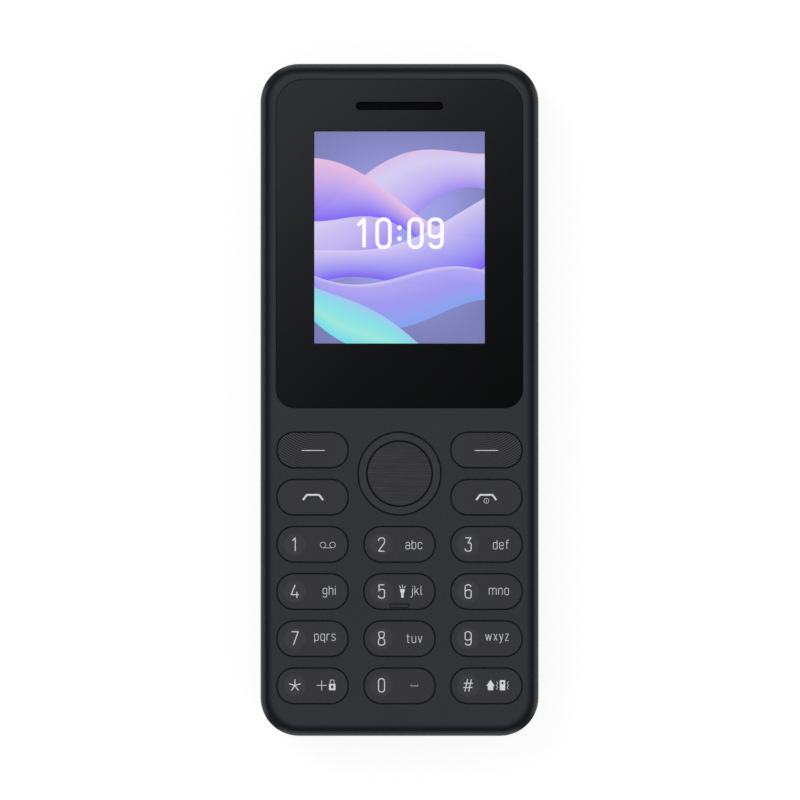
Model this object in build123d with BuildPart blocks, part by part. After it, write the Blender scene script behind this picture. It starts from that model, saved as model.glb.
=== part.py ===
from build123d import *
from math import radians, sqrt, tan
import os

os.makedirs("parts", exist_ok=True)

# Feature phone, lying on its back.
# The screen and the keys face +Z, +Y runs from the foot of the phone to its top end, and
# +X to the right of someone who looks at the screen with the top end up. The origin is
# under the middle of the back.
# A depth is measured from the face of the housing towards the back, and a rise from the
# foot towards the top end. All lengths are in millimetres.

# Display
active_width = 28.03
active_height = 34.8
cell_side_border = 2.3
cell_top_border = 0.88
cell_foot_border = 6.06
cell_thickness = 0.95
backlight_lip = 0.6
foam_thickness = 0.1
foam_width = 0.8
window_margin = 1.1
flex_width = 12.0
flex_thickness = 0.12
flex_reach = 1.0
flex_foot = 2.4

# Lens and its recess
lens_side_border = 3.285
lens_top_border = 7.0
lens_foot_border = 3.9
lens_thickness = 0.8
lens_top_corner = 4.6
lens_foot_corner = 3.1
lens_gap = 0.03
lens_edge = 0.03
adhesive_thickness = 0.15
adhesive_inset = 0.4
ledge_wall = 0.7

# Earpiece
ear_slot_width = 14.34
ear_slot_height = 1.34
ear_mesh_margin = 0.6
receiver_width = 15.0
receiver_height = 4.7
receiver_gap = 0.3
receiver_corner = 1.2

# Front housing
rim = 2.6
corner_radius = 6.3
front_edge_radius = 2.2
side_wall = 1.3
face_wall = 1.2
face_edge = 0.05
port_wall = 0.8
fit_gap = 0.1

# Keys, row by row from the foot up; the navigation pad stands in the two gaps
key_names = [
    ("key_star", "key_0", "key_hash"),
    ("key_7", "key_8", "key_9"),
    ("key_4", "key_5", "key_6"),
    ("key_1", "key_2", "key_3"),
    ("key_call", None, "key_end"),
    ("key_soft_left", None, "key_soft_right"),
]
key_rows = len(key_names)
key_columns = len(key_names[0])
key_height = 5.68
row_web = 2.045
column_web = 2.74
key_side_margin = 2.81
foot_margin = 5.44
keypad_gap = 4.055
key_end_share = 0.96
key_gap = 0.16
key_proud = 0.15
key_edge_radius = 0.1
key_flange_reach = 0.65
key_flange_gap = 0.05
key_flange_thickness = 0.5
key_travel = 0.25
key_stop_gap = 0.03
bar_width = 3.1
bar_height = 0.6
bar_proud = 0.2
bar_rise = 0.51

# Navigation pad
nav_band = 1.27
nav_gap = 0.18
nav_tilt = 1.8
nav_clearance = 0.04
nav_flange_thickness = 0.4
nav_edge_radius = 0.1
centre_flange_reach = 0.45
centre_flange_thickness = 0.3
rocker_thickness = 0.35
rocker_inset = 0.35
rocker_gap = 0.15
pivot_width = 0.6

# Keymat and snap domes
nub_height = 0.2
nub_radius = 1.0
mat_thickness = 0.25
pad_inset = 0.5
dome_gap = 0.05
dome_height = 0.25
dome_radius = 2.0
dome_thickness = 0.07

# Main board and what stands on it
board_thickness = 0.8
board_gap = 0.4
board_hole_gap = 0.15
component_space = 1.9
shield_height = 1.5
shield_wall = 0.2
baseband_width = 22.0
baseband_height = 13.0
radio_width = 11.0
radio_height = 10.0
shield_gap = 1.5
shield_drop = 16.5
card_reader_width = 15.0
card_reader_height = 13.5
card_reader_thickness = 1.4
card_slot_thickness = 0.8
card_reader_spacing = 17.0
sim_rise = 42.0
memory_rise = 24.0
microphone_width = 3.8
microphone_height = 3.0
microphone_thickness = 1.1
microphone_x = 10.5
sound_hole_radius = 0.5
motor_radius = 4.0
motor_thickness = 2.6
motor_x = 11.5

# Sockets
usb_width = 8.94
usb_thickness = 3.16
usb_length = 7.3
usb_shell = 0.3
usb_recess = 0.6
usb_tongue_width = 6.69
usb_tongue_thickness = 0.7
usb_tongue_length = 5.0
usb_opening_gap = 0.12
jack_x = -11.5
jack_width = 6.0
jack_thickness = 4.6
jack_body_length = 12.0
jack_bore_radius = 1.78
jack_bore_length = 13.0
jack_nose_radius = 2.3
jack_nose_gap = 0.1
jack_recess = 0.1
jack_tab_reach = 1.2
jack_tab_thickness = 0.3

# Chassis
chassis_gap = 0.1
chassis_floor = 0.7
chassis_wall = 0.8
chassis_back_gap = 0.2
deck_wall = 0.8
upper_zone_height = 47.3
battery_side_zone = 5.5
bay_foot_gap = 0.6
bay_corner = 1.5
card_window_margin = 0.7

# Screws
screw_shank_radius = 0.6
screw_head_radius = 1.2
screw_head_height = 0.8
screw_length = 3.4
screw_slot_width = 0.3
screw_slot_depth = 0.4
screw_gap = 0.06
post_radius = 1.15
shoulder_radius = 1.45
well_gap = 0.12
screw_side_inset = 2.1
screw_keypad_gap = 0.35

# Battery and its contacts
battery_gap = 0.3
battery_depth_gap = 0.1
battery_thickness = 5.7
battery_corner = 1.2
battery_edge = 0.6
terminal_width = 1.4
terminal_height = 0.3
terminal_depth = 2.2
terminal_pitch = 2.5
terminals = 3
contact_block_width = 8.5
contact_block_length = 3.2
contact_block_skin = 0.4
contact_gap = 0.12
contact_width = 0.9
contact_height = 1.6

# Rear cover
cover_wall = 1.1
cover_gap = 0.1
cover_seam = 0.06
rear_edge_radius = 1.6
slot_width = 1.1
slot_height = 7.0
slot_pitch = 2.1
slots = 6
notch_width = 8.0
notch_depth = 0.7

# Camera, torch, loudspeaker and aerial
camera_x = 12.6
camera_drop = 12.2
camera_size = 7.0
camera_body_depth = 3.4
barrel_radius = 2.6
barrel_gap = 0.2
eye_gap = 0.15
torch_spacing = 8.5
torch_size = 3.6
torch_body_depth = 1.4
torch_radius = 1.6
pane_margin = 1.7
pane_thickness = 0.8
pane_ledge = 0.7
pane_gap = 0.05
speaker_x = -8.5
speaker_gap = 10.1
speaker_width = 18.0
speaker_height = 12.0
speaker_depth = 3.6
speaker_corner = 1.5
mesh_thickness = 0.15
mesh_margin = 1.0
aerial_width = 28.0
aerial_thickness = 0.1
aerial_margin = 1.6
aerial_track = 1.4
aerial_slit = 0.8

# One overrun for cuts that pass right through something
overrun = 1.0

# Widths and heights that follow from those sizes
cell_width = active_width + 2 * cell_side_border
cell_height = active_height + cell_top_border + cell_foot_border
module_width = cell_width + 2 * backlight_lip
module_height = cell_height + 2 * backlight_lip
lens_width = module_width + 2 * lens_side_border
lens_height = module_height + lens_top_border + lens_foot_border
body_width = lens_width + 2 * rim
row_pitch = key_height + row_web
lens_foot_rise = foot_margin + key_rows * row_pitch - row_web + keypad_gap
body_height = lens_foot_rise + lens_height + rim
module_foot_rise = lens_foot_rise + lens_foot_border
cell_foot_rise = module_foot_rise + backlight_lip
active_foot_rise = cell_foot_rise + cell_foot_border
ear_rise = module_foot_rise + module_height + receiver_gap + receiver_height / 2
key_width = (body_width - 2 * key_side_margin - (key_columns - 1) * column_web) / key_columns
column_pitch = key_width + column_web
inner_width = body_width - 2 * side_wall
inner_height = body_height - 2 * side_wall
inner_corner = corner_radius - side_wall
middle_rise = body_height / 2

# Depths that follow, from the face to the back
lens_recess = lens_thickness + adhesive_thickness
ledge_depth = lens_recess + ledge_wall
flange_depth = face_wall + key_flange_gap
pad_depth = flange_depth + key_flange_thickness + key_travel + key_stop_gap
nav_outer_radius = (row_pitch + key_height) / 2
nav_inner_radius = nav_outer_radius - nav_band
nav_flange_radius = nav_outer_radius + key_flange_reach
nav_rock = nav_flange_radius * tan(radians(nav_tilt))
nav_flange_depth = face_wall + nav_rock * sqrt(2) + nav_clearance
nav_under_depth = nav_flange_depth + nav_flange_thickness
rocker_depth = nav_under_depth + nav_rock + nav_clearance
rocker_under_depth = rocker_depth + rocker_thickness
mat_depth = rocker_under_depth + nav_rock + nav_clearance
nub_depth = mat_depth + mat_thickness
board_depth = nub_depth + nub_height + dome_gap + dome_height
board_back = board_depth + board_thickness
cell_depth = ledge_depth + foam_thickness
backlight_depth = cell_depth + cell_thickness
chassis_depth = board_back + component_space
bay_floor_depth = chassis_depth + chassis_floor
battery_depth = bay_floor_depth + battery_depth_gap
battery_back = battery_depth + battery_thickness
cover_inner_depth = battery_back + cover_gap
body_depth = cover_inner_depth + cover_wall
chassis_back = cover_inner_depth - chassis_back_gap
deck_depth = chassis_back - deck_wall
jack_depth = board_depth + jack_thickness / 2
housing_depth = board_depth + jack_thickness + port_wall
overall_depth = body_depth + key_proud + bar_proud
face_z = body_depth
foot_y = -body_height / 2

# Places that follow
nav_rise = foot_margin + key_rows * row_pitch - row_web - (row_pitch + key_height) / 2
bay_width = body_width - 2 * battery_side_zone
bay_foot_rise = usb_recess + usb_length + bay_foot_gap + chassis_wall
bay_top_rise = body_height - upper_zone_height
bay_height = bay_top_rise - bay_foot_rise
bay_rise = (bay_foot_rise + bay_top_rise) / 2
battery_width = bay_width - 2 * battery_gap
battery_height = bay_height - 2 * battery_gap
contact_depth = battery_depth + (battery_thickness - contact_height) / 2
contact_block_depth = contact_depth + contact_height + contact_block_skin - board_back
camera_rise = body_height - camera_drop
torch_rise = camera_rise - torch_spacing
speaker_rise = bay_top_rise + speaker_gap + speaker_height / 2
shields_width = baseband_width + shield_gap + radio_width
baseband_x = (baseband_width - shields_width) / 2
radio_x = (shields_width - radio_width) / 2
shield_rise = body_height - shield_drop - baseband_height / 2
chassis_width = inner_width - 2 * chassis_gap
chassis_height = inner_height - 2 * chassis_gap
chassis_corner = inner_corner - chassis_gap
well_radius = screw_head_radius + well_gap
flange_foot_rise = foot_margin - key_flange_reach
flange_top_rise = foot_margin + key_rows * row_pitch - row_web + key_flange_reach
screw_foot_rise = (side_wall + flange_foot_rise) / 2
screw_middle_rise = flange_top_rise + shoulder_radius + screw_keypad_gap
screw_top_rise = body_height - corner_radius + screw_side_inset
screw_corner_x = body_width / 2 - corner_radius
screw_middle_x = inner_width / 2 - screw_side_inset
screw_points = [
    (side * x, rise)
    for side in (-1, 1)
    for x, rise in (
        (screw_corner_x, screw_foot_rise),
        (screw_middle_x, screw_middle_rise),
        (screw_corner_x + screw_shank_radius, screw_top_rise),
    )
]

# Middle of each key
key_points = {
    name: (
        (column - (key_columns - 1) / 2) * column_pitch,
        foot_margin + key_height / 2 + row * row_pitch,
    )
    for row, names in enumerate(key_names)
    for column, name in enumerate(names)
    if name
}
nav_point = (0, nav_rise)
rocker_radius = nav_flange_radius - rocker_inset
rocker_inner_radius = nav_inner_radius - nav_gap + centre_flange_reach + rocker_gap
nav_reach = (rocker_radius + rocker_inner_radius) / 2
nav_directions = [(0, nav_reach), (0, -nav_reach), (nav_reach, 0), (-nav_reach, 0)]
nav_dome_points = [(x, nav_rise + rise) for x, rise in nav_directions]
dome_points = [*key_points.values(), nav_point, *nav_dome_points]


def level(depth):
    """Plane parallel to the face, this deep in the phone, that looks out of the screen.

    On it, x is the place across the phone and y the rise from the foot.
    """
    return Plane(origin=(0, foot_y, face_z - depth), z_dir=(0, 0, 1))


def across(rise):
    """Plane square to the phone's length at this rise, that looks towards the top end.

    On it, x is the place across the phone and y the depth.
    """
    return Plane(origin=(0, foot_y + rise, face_z), x_dir=(1, 0, 0), z_dir=(0, 1, 0))


def along(x):
    """Plane along the phone at this place across it, on which x is the depth and y the rise."""
    return Plane(origin=(x, foot_y, face_z), x_dir=(0, 0, -1), z_dir=(1, 0, 0))


def pill(width, height):
    """Outline of a key: a rounded rectangle whose ends are almost half circles."""
    with BuildSketch(Plane.XY) as outline:
        RectangleRounded(width, height, key_end_share * height / 2)
    return outline.sketch


def slab(depth, thickness, width, height, corner, place):
    """Plate with round corners, parallel to the face, from this depth towards the back."""
    with BuildPart() as plate:
        with BuildSketch(level(depth)):
            with Locations(place):
                RectangleRounded(width, height, corner)
        extrude(amount=-thickness)
    return plate.part


def block(depth, thickness, width, height, place):
    """Plate with sharp corners, parallel to the face, from this depth towards the back."""
    with BuildPart() as plate:
        with BuildSketch(level(depth)):
            with Locations(place):
                Rectangle(width, height)
        extrude(amount=-thickness)
    return plate.part


def lens_outline(grow):
    """Outline of the lens, grown by this much on every side."""
    half = lens_width / 2 + grow
    foot = lens_foot_rise - grow
    top = lens_foot_rise + lens_height + grow
    with BuildSketch(Plane.XY) as outline:
        with BuildLine():
            Polyline((-half, foot), (half, foot), (half, top), (-half, top), close=True)
        make_face()
        corners = outline.vertices().group_by(Axis.Y)
        fillet(corners[0], lens_foot_corner + grow)
        fillet(outline.vertices().group_by(Axis.Y)[-1], lens_top_corner + grow)
    return outline.sketch


# Front housing: a deep tub with the lens recess, the key openings and the screw posts
with BuildPart() as front_housing:
    with BuildSketch(level(0)):
        with Locations((0, middle_rise)):
            RectangleRounded(body_width, body_height, corner_radius)
    extrude(amount=-housing_depth)
    fillet(front_housing.faces().sort_by(Axis.Z)[-1].edges(), front_edge_radius)
    # The inside, shallower behind the lens than behind the keys
    add(
        slab(ledge_depth, housing_depth, inner_width, inner_height, inner_corner, (0, middle_rise)),
        mode=Mode.SUBTRACT,
    )
    keypad_top_rise = screw_middle_rise + shoulder_radius
    with BuildSketch(level(face_wall)):
        with Locations((0, middle_rise)):
            RectangleRounded(inner_width, inner_height, inner_corner)
        with Locations((0, keypad_top_rise)):
            Rectangle(body_width, body_height, align=(Align.CENTER, Align.MIN), mode=Mode.SUBTRACT)
    extrude(amount=-(ledge_depth - face_wall), mode=Mode.SUBTRACT)
    # Screw posts: a shoulder that the board lies on, and a core that the chassis meets
    with BuildSketch(level(face_wall)):
        with Locations(*screw_points):
            Circle(shoulder_radius)
    extrude(amount=-(board_depth - face_wall))
    with BuildSketch(level(board_depth)):
        with Locations(*screw_points):
            Circle(post_radius)
    extrude(amount=-(chassis_depth - board_depth))
    with BuildSketch(level(chassis_depth)):
        with Locations(*screw_points):
            Circle(screw_shank_radius + screw_gap)
    extrude(amount=screw_length, mode=Mode.SUBTRACT)
    # Lens recess and the window through its floor
    with BuildSketch(level(0)):
        add(lens_outline(lens_gap))
    extrude(amount=-lens_recess, mode=Mode.SUBTRACT)
    with BuildSketch(level(lens_recess)):
        with Locations((0, active_foot_rise + active_height / 2)):
            Rectangle(active_width + 2 * window_margin, active_height + 2 * window_margin)
        with Locations((0, ear_rise)):
            SlotOverall(ear_slot_width, ear_slot_height)
    extrude(amount=-ledge_wall, mode=Mode.SUBTRACT)
    # Key openings
    with BuildSketch(level(0)):
        with Locations(*key_points.values()):
            add(pill(key_width + 2 * key_gap, key_height + 2 * key_gap))
        with Locations(nav_point):
            Circle(nav_outer_radius + nav_gap)
    extrude(amount=-face_wall, mode=Mode.SUBTRACT)
    face = front_housing.faces().sort_by(Axis.Z)[-1]
    chamfer(face.inner_wires().edges(), face_edge)
    # Headphone hole in the top end, charging socket and microphone holes in the foot
    with BuildSketch(across(body_height)):
        with Locations((jack_x, jack_depth)):
            Circle(jack_nose_radius + jack_nose_gap)
    extrude(amount=-side_wall, mode=Mode.SUBTRACT)
    with BuildSketch(across(0)):
        with Locations((0, board_back + usb_thickness / 2)):
            SlotOverall(usb_width + 2 * usb_opening_gap, usb_thickness + 2 * usb_opening_gap)
        with Locations((microphone_x, board_back + microphone_thickness / 2)):
            Circle(sound_hole_radius)
    extrude(amount=side_wall, mode=Mode.SUBTRACT)

# Display lens with the earpiece slot
with BuildPart() as display_lens:
    with BuildSketch(level(0)):
        add(lens_outline(0))
        with Locations((0, ear_rise)):
            SlotOverall(ear_slot_width, ear_slot_height, mode=Mode.SUBTRACT)
    extrude(amount=-lens_thickness)
    chamfer(display_lens.faces().sort_by(Axis.Z)[-1].edges(), lens_edge)

# Adhesive frame under the lens, open over the display and the earpiece
with BuildPart() as lens_adhesive:
    with BuildSketch(level(lens_thickness)):
        add(lens_outline(-adhesive_inset))
        with Locations((0, active_foot_rise + active_height / 2)):
            Rectangle(
                active_width + 2 * window_margin,
                active_height + 2 * window_margin,
                mode=Mode.SUBTRACT,
            )
        with Locations((0, ear_rise)):
            SlotOverall(
                ear_slot_width + 3 * ear_mesh_margin,
                ear_slot_height + 3 * ear_mesh_margin,
                mode=Mode.SUBTRACT,
            )
    extrude(amount=-adhesive_thickness)

# Mesh behind the earpiece slot
with BuildPart() as earpiece_mesh:
    with BuildSketch(level(lens_thickness)):
        with Locations((0, ear_rise)):
            SlotOverall(ear_slot_width + 2 * ear_mesh_margin, ear_slot_height + 2 * ear_mesh_margin)
    extrude(amount=-adhesive_thickness)

# Earpiece receiver, between the housing and the board, with its sound opening
with BuildPart() as earpiece_receiver:
    add(
        slab(
            ledge_depth, board_depth - ledge_depth, receiver_width, receiver_height,
            receiver_corner, (0, ear_rise),
        )
    )
    with BuildSketch(level(ledge_depth)):
        with Locations((0, ear_rise)):
            SlotOverall(ear_slot_width - receiver_corner, ear_slot_height)
    extrude(amount=-ledge_wall, mode=Mode.SUBTRACT)

# Foam frame that seals the display against the housing
cell_place = (0, cell_foot_rise + cell_height / 2)
with BuildPart() as display_foam:
    with BuildSketch(level(ledge_depth)):
        with Locations(cell_place):
            Rectangle(cell_width, cell_height)
            Rectangle(cell_width - 2 * foam_width, cell_height - 2 * foam_width, mode=Mode.SUBTRACT)
        with Locations((0, active_foot_rise + active_height / 2)):
            Rectangle(
                active_width + 2 * window_margin,
                active_height + 2 * window_margin,
                mode=Mode.SUBTRACT,
            )
    extrude(amount=-foam_thickness)

# Liquid crystal cell: two glasses, the rear one longer at the foot for the driver chip
with BuildPart() as lcd_cell:
    add(block(cell_depth, cell_thickness, cell_width, cell_height, cell_place))
    with BuildSketch(level(cell_depth)):
        with Locations((0, cell_foot_rise)):
            Rectangle(cell_width, cell_foot_border / 2, align=(Align.CENTER, Align.MIN))
    extrude(amount=-cell_thickness / 2, mode=Mode.SUBTRACT)

# Backlight: a tray with a lip around the cell
module_place = (0, module_foot_rise + module_height / 2)
with BuildPart() as backlight_unit:
    add(block(cell_depth, board_depth - cell_depth, module_width, module_height, module_place))
    with BuildSketch(level(cell_depth)):
        with Locations(cell_place):
            Rectangle(cell_width, cell_height)
    extrude(amount=-cell_thickness, mode=Mode.SUBTRACT)
    with BuildSketch(level(cell_depth)):
        with Locations((0, module_foot_rise)):
            Rectangle(flex_width + 2 * fit_gap, backlight_lip, align=(Align.CENTER, Align.MIN))
    extrude(amount=-(board_depth - cell_depth), mode=Mode.SUBTRACT)

# Display ribbon: from the foot of the cell down to the board
ribbon_depth = cell_depth + cell_thickness / 2
ribbon_out_rise = module_foot_rise - flex_reach
with BuildPart() as lcd_flex:
    with BuildSketch(along(-flex_width / 2)):
        with BuildLine():
            Polyline(
                (ribbon_depth, cell_foot_rise),
                (ribbon_depth, ribbon_out_rise),
                (board_depth - flex_thickness, ribbon_out_rise),
                (board_depth - flex_thickness, ribbon_out_rise - flex_foot),
                (board_depth, ribbon_out_rise - flex_foot),
                (board_depth, ribbon_out_rise + flex_thickness),
                (ribbon_depth + flex_thickness, ribbon_out_rise + flex_thickness),
                (ribbon_depth + flex_thickness, cell_foot_rise),
                close=True,
            )
        make_face()
    extrude(amount=flex_width)

# Keycaps: a crown in the opening and a flange under the face
for name, (key_x, key_rise) in key_points.items():
    with BuildPart() as keycap:
        with BuildSketch(level(-key_proud)):
            with Locations((key_x, key_rise)):
                add(pill(key_width, key_height))
        extrude(amount=-(key_proud + flange_depth + key_flange_thickness))
        fillet(keycap.faces().sort_by(Axis.Z)[-1].edges(), key_edge_radius)
        if name == "key_5":
            bar_place = (key_x, key_rise - key_height / 2 + bar_rise)
            add(
                slab(
                    -(key_proud + bar_proud), key_proud + bar_proud + key_edge_radius,
                    bar_width, bar_height, bar_height / 3, bar_place,
                )
            )
            fillet(keycap.faces().sort_by(Axis.Z)[-1].edges(), bar_proud / 2)
        with BuildSketch(level(flange_depth)):
            with Locations((key_x, key_rise)):
                add(pill(key_width + 2 * key_flange_reach, key_height + 2 * key_flange_reach))
        extrude(amount=-key_flange_thickness)
    keycap.part.label = name
    export_step(keycap.part, f"parts/{name}.step")

# Navigation ring: a band in the opening with a flange under the face
with BuildPart() as nav_ring:
    with BuildSketch(level(-key_proud)):
        with Locations(nav_point):
            Circle(nav_outer_radius)
            Circle(nav_inner_radius, mode=Mode.SUBTRACT)
    extrude(amount=-(key_proud + nav_under_depth))
    fillet(nav_ring.faces().sort_by(Axis.Z)[-1].edges(), nav_edge_radius)
    with BuildSketch(level(nav_flange_depth)):
        with Locations(nav_point):
            Circle(nav_flange_radius)
            Circle(nav_inner_radius, mode=Mode.SUBTRACT)
    extrude(amount=-nav_flange_thickness)

# Rocker under the ring: it tilts up and down on its lower ribs, and the ring tilts
# left and right on its upper ribs
rib_height = nav_rock + nav_clearance / 2
rib_points = [(x, nav_rise + rise) for x, rise in nav_directions]
with BuildPart() as nav_rocker:
    with BuildSketch(level(rocker_depth)):
        with Locations(nav_point):
            Circle(rocker_radius)
            Circle(rocker_inner_radius, mode=Mode.SUBTRACT)
    extrude(amount=-rocker_thickness)
    with BuildSketch(level(rocker_depth)):
        with Locations(*rib_points[:2]):
            Rectangle(pivot_width, pivot_width)
    extrude(amount=rib_height)
    with BuildSketch(level(rocker_under_depth)):
        with Locations(*rib_points[2:]):
            Rectangle(pivot_width, pivot_width)
    extrude(amount=-rib_height)

# Centre key: its flange sits inside the rocker, under the ring
centre_radius = nav_inner_radius - nav_gap
centre_under_depth = mat_depth - key_travel - nav_clearance
with BuildPart() as nav_centre:
    with BuildSketch(level(-key_proud)):
        with Locations(nav_point):
            Circle(centre_radius)
    extrude(amount=-(key_proud + centre_under_depth))
    fillet(nav_centre.faces().sort_by(Axis.Z)[-1].edges(), nav_edge_radius)
    with BuildSketch(level(centre_under_depth)):
        with Locations(nav_point):
            Circle(centre_radius + centre_flange_reach)
    extrude(amount=centre_flange_thickness)

# Keymat: a silicone sheet with a pad under each key and a nub over each dome
mat_foot_rise = flange_foot_rise
mat_height = flange_top_rise - flange_foot_rise
mat_place = (0, mat_foot_rise + mat_height / 2)
mat_width = 2 * column_pitch + key_width + 2 * key_flange_reach
with BuildPart() as keymat:
    add(slab(mat_depth, mat_thickness, mat_width, mat_height, key_height / 2, mat_place))
    with BuildSketch(level(pad_depth)):
        with Locations(*key_points.values()):
            add(pill(key_width - 2 * pad_inset, key_height - 2 * pad_inset))
    extrude(amount=-(mat_depth - pad_depth))
    with BuildSketch(level(nub_depth)):
        with Locations(*dome_points):
            Circle(nub_radius)
    extrude(amount=-nub_height)
    # Rails along the sides, on which the sheet stands on the board
    rail_width = mat_width / 2 - column_pitch - dome_radius - key_gap
    for side in (-1, 1):
        rail_x = side * (mat_width - rail_width) / 2
        add(block(nub_depth, board_depth - nub_depth, rail_width, mat_height / 2, (rail_x, mat_place[1])))

# Snap domes: shallow spring steel caps on the board, one under each nub
with BuildPart() as dome:
    with BuildSketch(Plane.XZ):
        with BuildLine():
            TangentArc((0, dome_height), (dome_radius, 0), tangent=(1, 0))
            Line((dome_radius, 0), (dome_radius - dome_thickness, 0))
            TangentArc(
                (0, dome_height - dome_thickness), (dome_radius - dome_thickness, 0), tangent=(1, 0)
            )
            Line((0, dome_height - dome_thickness), (0, dome_height))
        make_face()
    revolve(axis=Axis.Z)
with BuildPart() as snap_domes:
    with Locations(*[(x, foot_y + rise, face_z - board_depth) for x, rise in dome_points]):
        add(dome.part)

# Main board, with holes for the screw posts and a notch for the headphone socket
board_width = inner_width - 2 * board_gap
board_height = inner_height - 2 * board_gap
jack_body_top_rise = body_height - side_wall - fit_gap
jack_body_foot_rise = jack_body_top_rise - jack_body_length
with BuildPart() as main_board:
    add(
        slab(
            board_depth, board_thickness, board_width, board_height, inner_corner - board_gap,
            (0, middle_rise),
        )
    )
    with BuildSketch(level(board_depth)):
        with Locations(*screw_points):
            Circle(post_radius + board_hole_gap)
        with Locations((jack_x, jack_body_foot_rise - fit_gap)):
            Rectangle(
                jack_width + 2 * fit_gap,
                jack_body_length + board_gap + overrun,
                align=(Align.CENTER, Align.MIN),
            )
    extrude(amount=-board_thickness, mode=Mode.SUBTRACT)


def shield_can(width, height, place):
    """Steel lid, open towards the board."""
    with BuildPart() as can:
        add(block(board_back, shield_height, width, height, place))
        fillet(can.edges().filter_by(Axis.Z), 2 * shield_wall)
        add(
            block(
                board_back, shield_height - shield_wall,
                width - 2 * shield_wall, height - 2 * shield_wall, place,
            ),
            mode=Mode.SUBTRACT,
        )
    return can.part


# Shield cans over the processor and the radio
with BuildPart() as baseband_shield:
    add(shield_can(baseband_width, baseband_height, (baseband_x, shield_rise)))
with BuildPart() as radio_shield:
    add(shield_can(radio_width, radio_height, (radio_x, shield_rise)))


def card_reader(place):
    """Flat reader shell with a card slot that opens towards the foot of the phone."""
    with BuildPart() as reader:
        add(block(board_back, card_reader_thickness, card_reader_width, card_reader_height, place))
        slot_skin = (card_reader_thickness - card_slot_thickness) / 2
        add(
            block(
                board_back + slot_skin, card_slot_thickness,
                card_reader_width - 4 * slot_skin, card_reader_height,
                (place[0], place[1] - 2 * slot_skin),
            ),
            mode=Mode.SUBTRACT,
        )
    return reader.part


# Card readers on the board, under the battery
sim_places = [(side * card_reader_spacing / 2, sim_rise) for side in (-1, 1)]
memory_place = (0, memory_rise)
with BuildPart() as sim_readers:
    for place in sim_places:
        add(card_reader(place))
with BuildPart() as memory_card_reader:
    add(card_reader(memory_place))

# Microphone over its hole in the foot
microphone_rise = side_wall + board_gap + microphone_height / 2
with BuildPart() as microphone:
    add(
        block(
            board_back, microphone_thickness, microphone_width, microphone_height,
            (microphone_x, microphone_rise),
        )
    )
    fillet(microphone.edges().filter_by(Axis.Z), sound_hole_radius / 2)

# Vibration motor: a coin stuck to the board above the battery bay
motor_rise = bay_top_rise + chassis_wall + motor_radius + bay_foot_gap
with BuildPart() as vibration_motor:
    with BuildSketch(level(board_back)):
        with Locations((motor_x, motor_rise)):
            Circle(motor_radius)
    extrude(amount=-motor_thickness)
    fillet(vibration_motor.faces().sort_by(Axis.Z)[0].edges(), shield_wall)

# Charging socket: a stadium shell with a tongue, open at the foot
usb_depth = board_back + usb_thickness / 2
with BuildPart() as usb_socket:
    with BuildSketch(across(usb_recess)):
        with Locations((0, usb_depth)):
            SlotOverall(usb_width, usb_thickness)
    extrude(amount=usb_length)
    with BuildSketch(across(usb_recess)):
        with Locations((0, usb_depth)):
            SlotOverall(usb_width - 2 * usb_shell, usb_thickness - 2 * usb_shell)
    extrude(amount=usb_length - 3 * usb_shell, mode=Mode.SUBTRACT)
    with BuildSketch(across(usb_recess + usb_length - usb_shell)):
        with Locations((0, usb_depth)):
            Rectangle(usb_tongue_width, usb_tongue_thickness)
    extrude(amount=-usb_tongue_length)

# Headphone socket: a block in the board's notch with a nose through the top end
with BuildPart() as headphone_socket:
    with BuildSketch(across(jack_body_foot_rise)):
        with Locations((jack_x, jack_depth)):
            Rectangle(jack_width, jack_thickness)
    extrude(amount=jack_body_length)
    with BuildSketch(across(jack_body_foot_rise + jack_body_length)):
        with Locations((jack_x, jack_depth)):
            Circle(jack_nose_radius)
    extrude(amount=side_wall + fit_gap - jack_recess)
    # Solder tabs that lie on the back of the board
    add(
        block(
            board_back, jack_tab_thickness, jack_width + 2 * (fit_gap + jack_tab_reach),
            jack_body_length / 3, (jack_x, jack_body_foot_rise + jack_body_length / 3),
        )
    )
    with BuildSketch(across(body_height - jack_recess)):
        with Locations((jack_x, jack_depth)):
            Circle(jack_bore_radius)
    extrude(amount=-jack_bore_length, mode=Mode.SUBTRACT)

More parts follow.
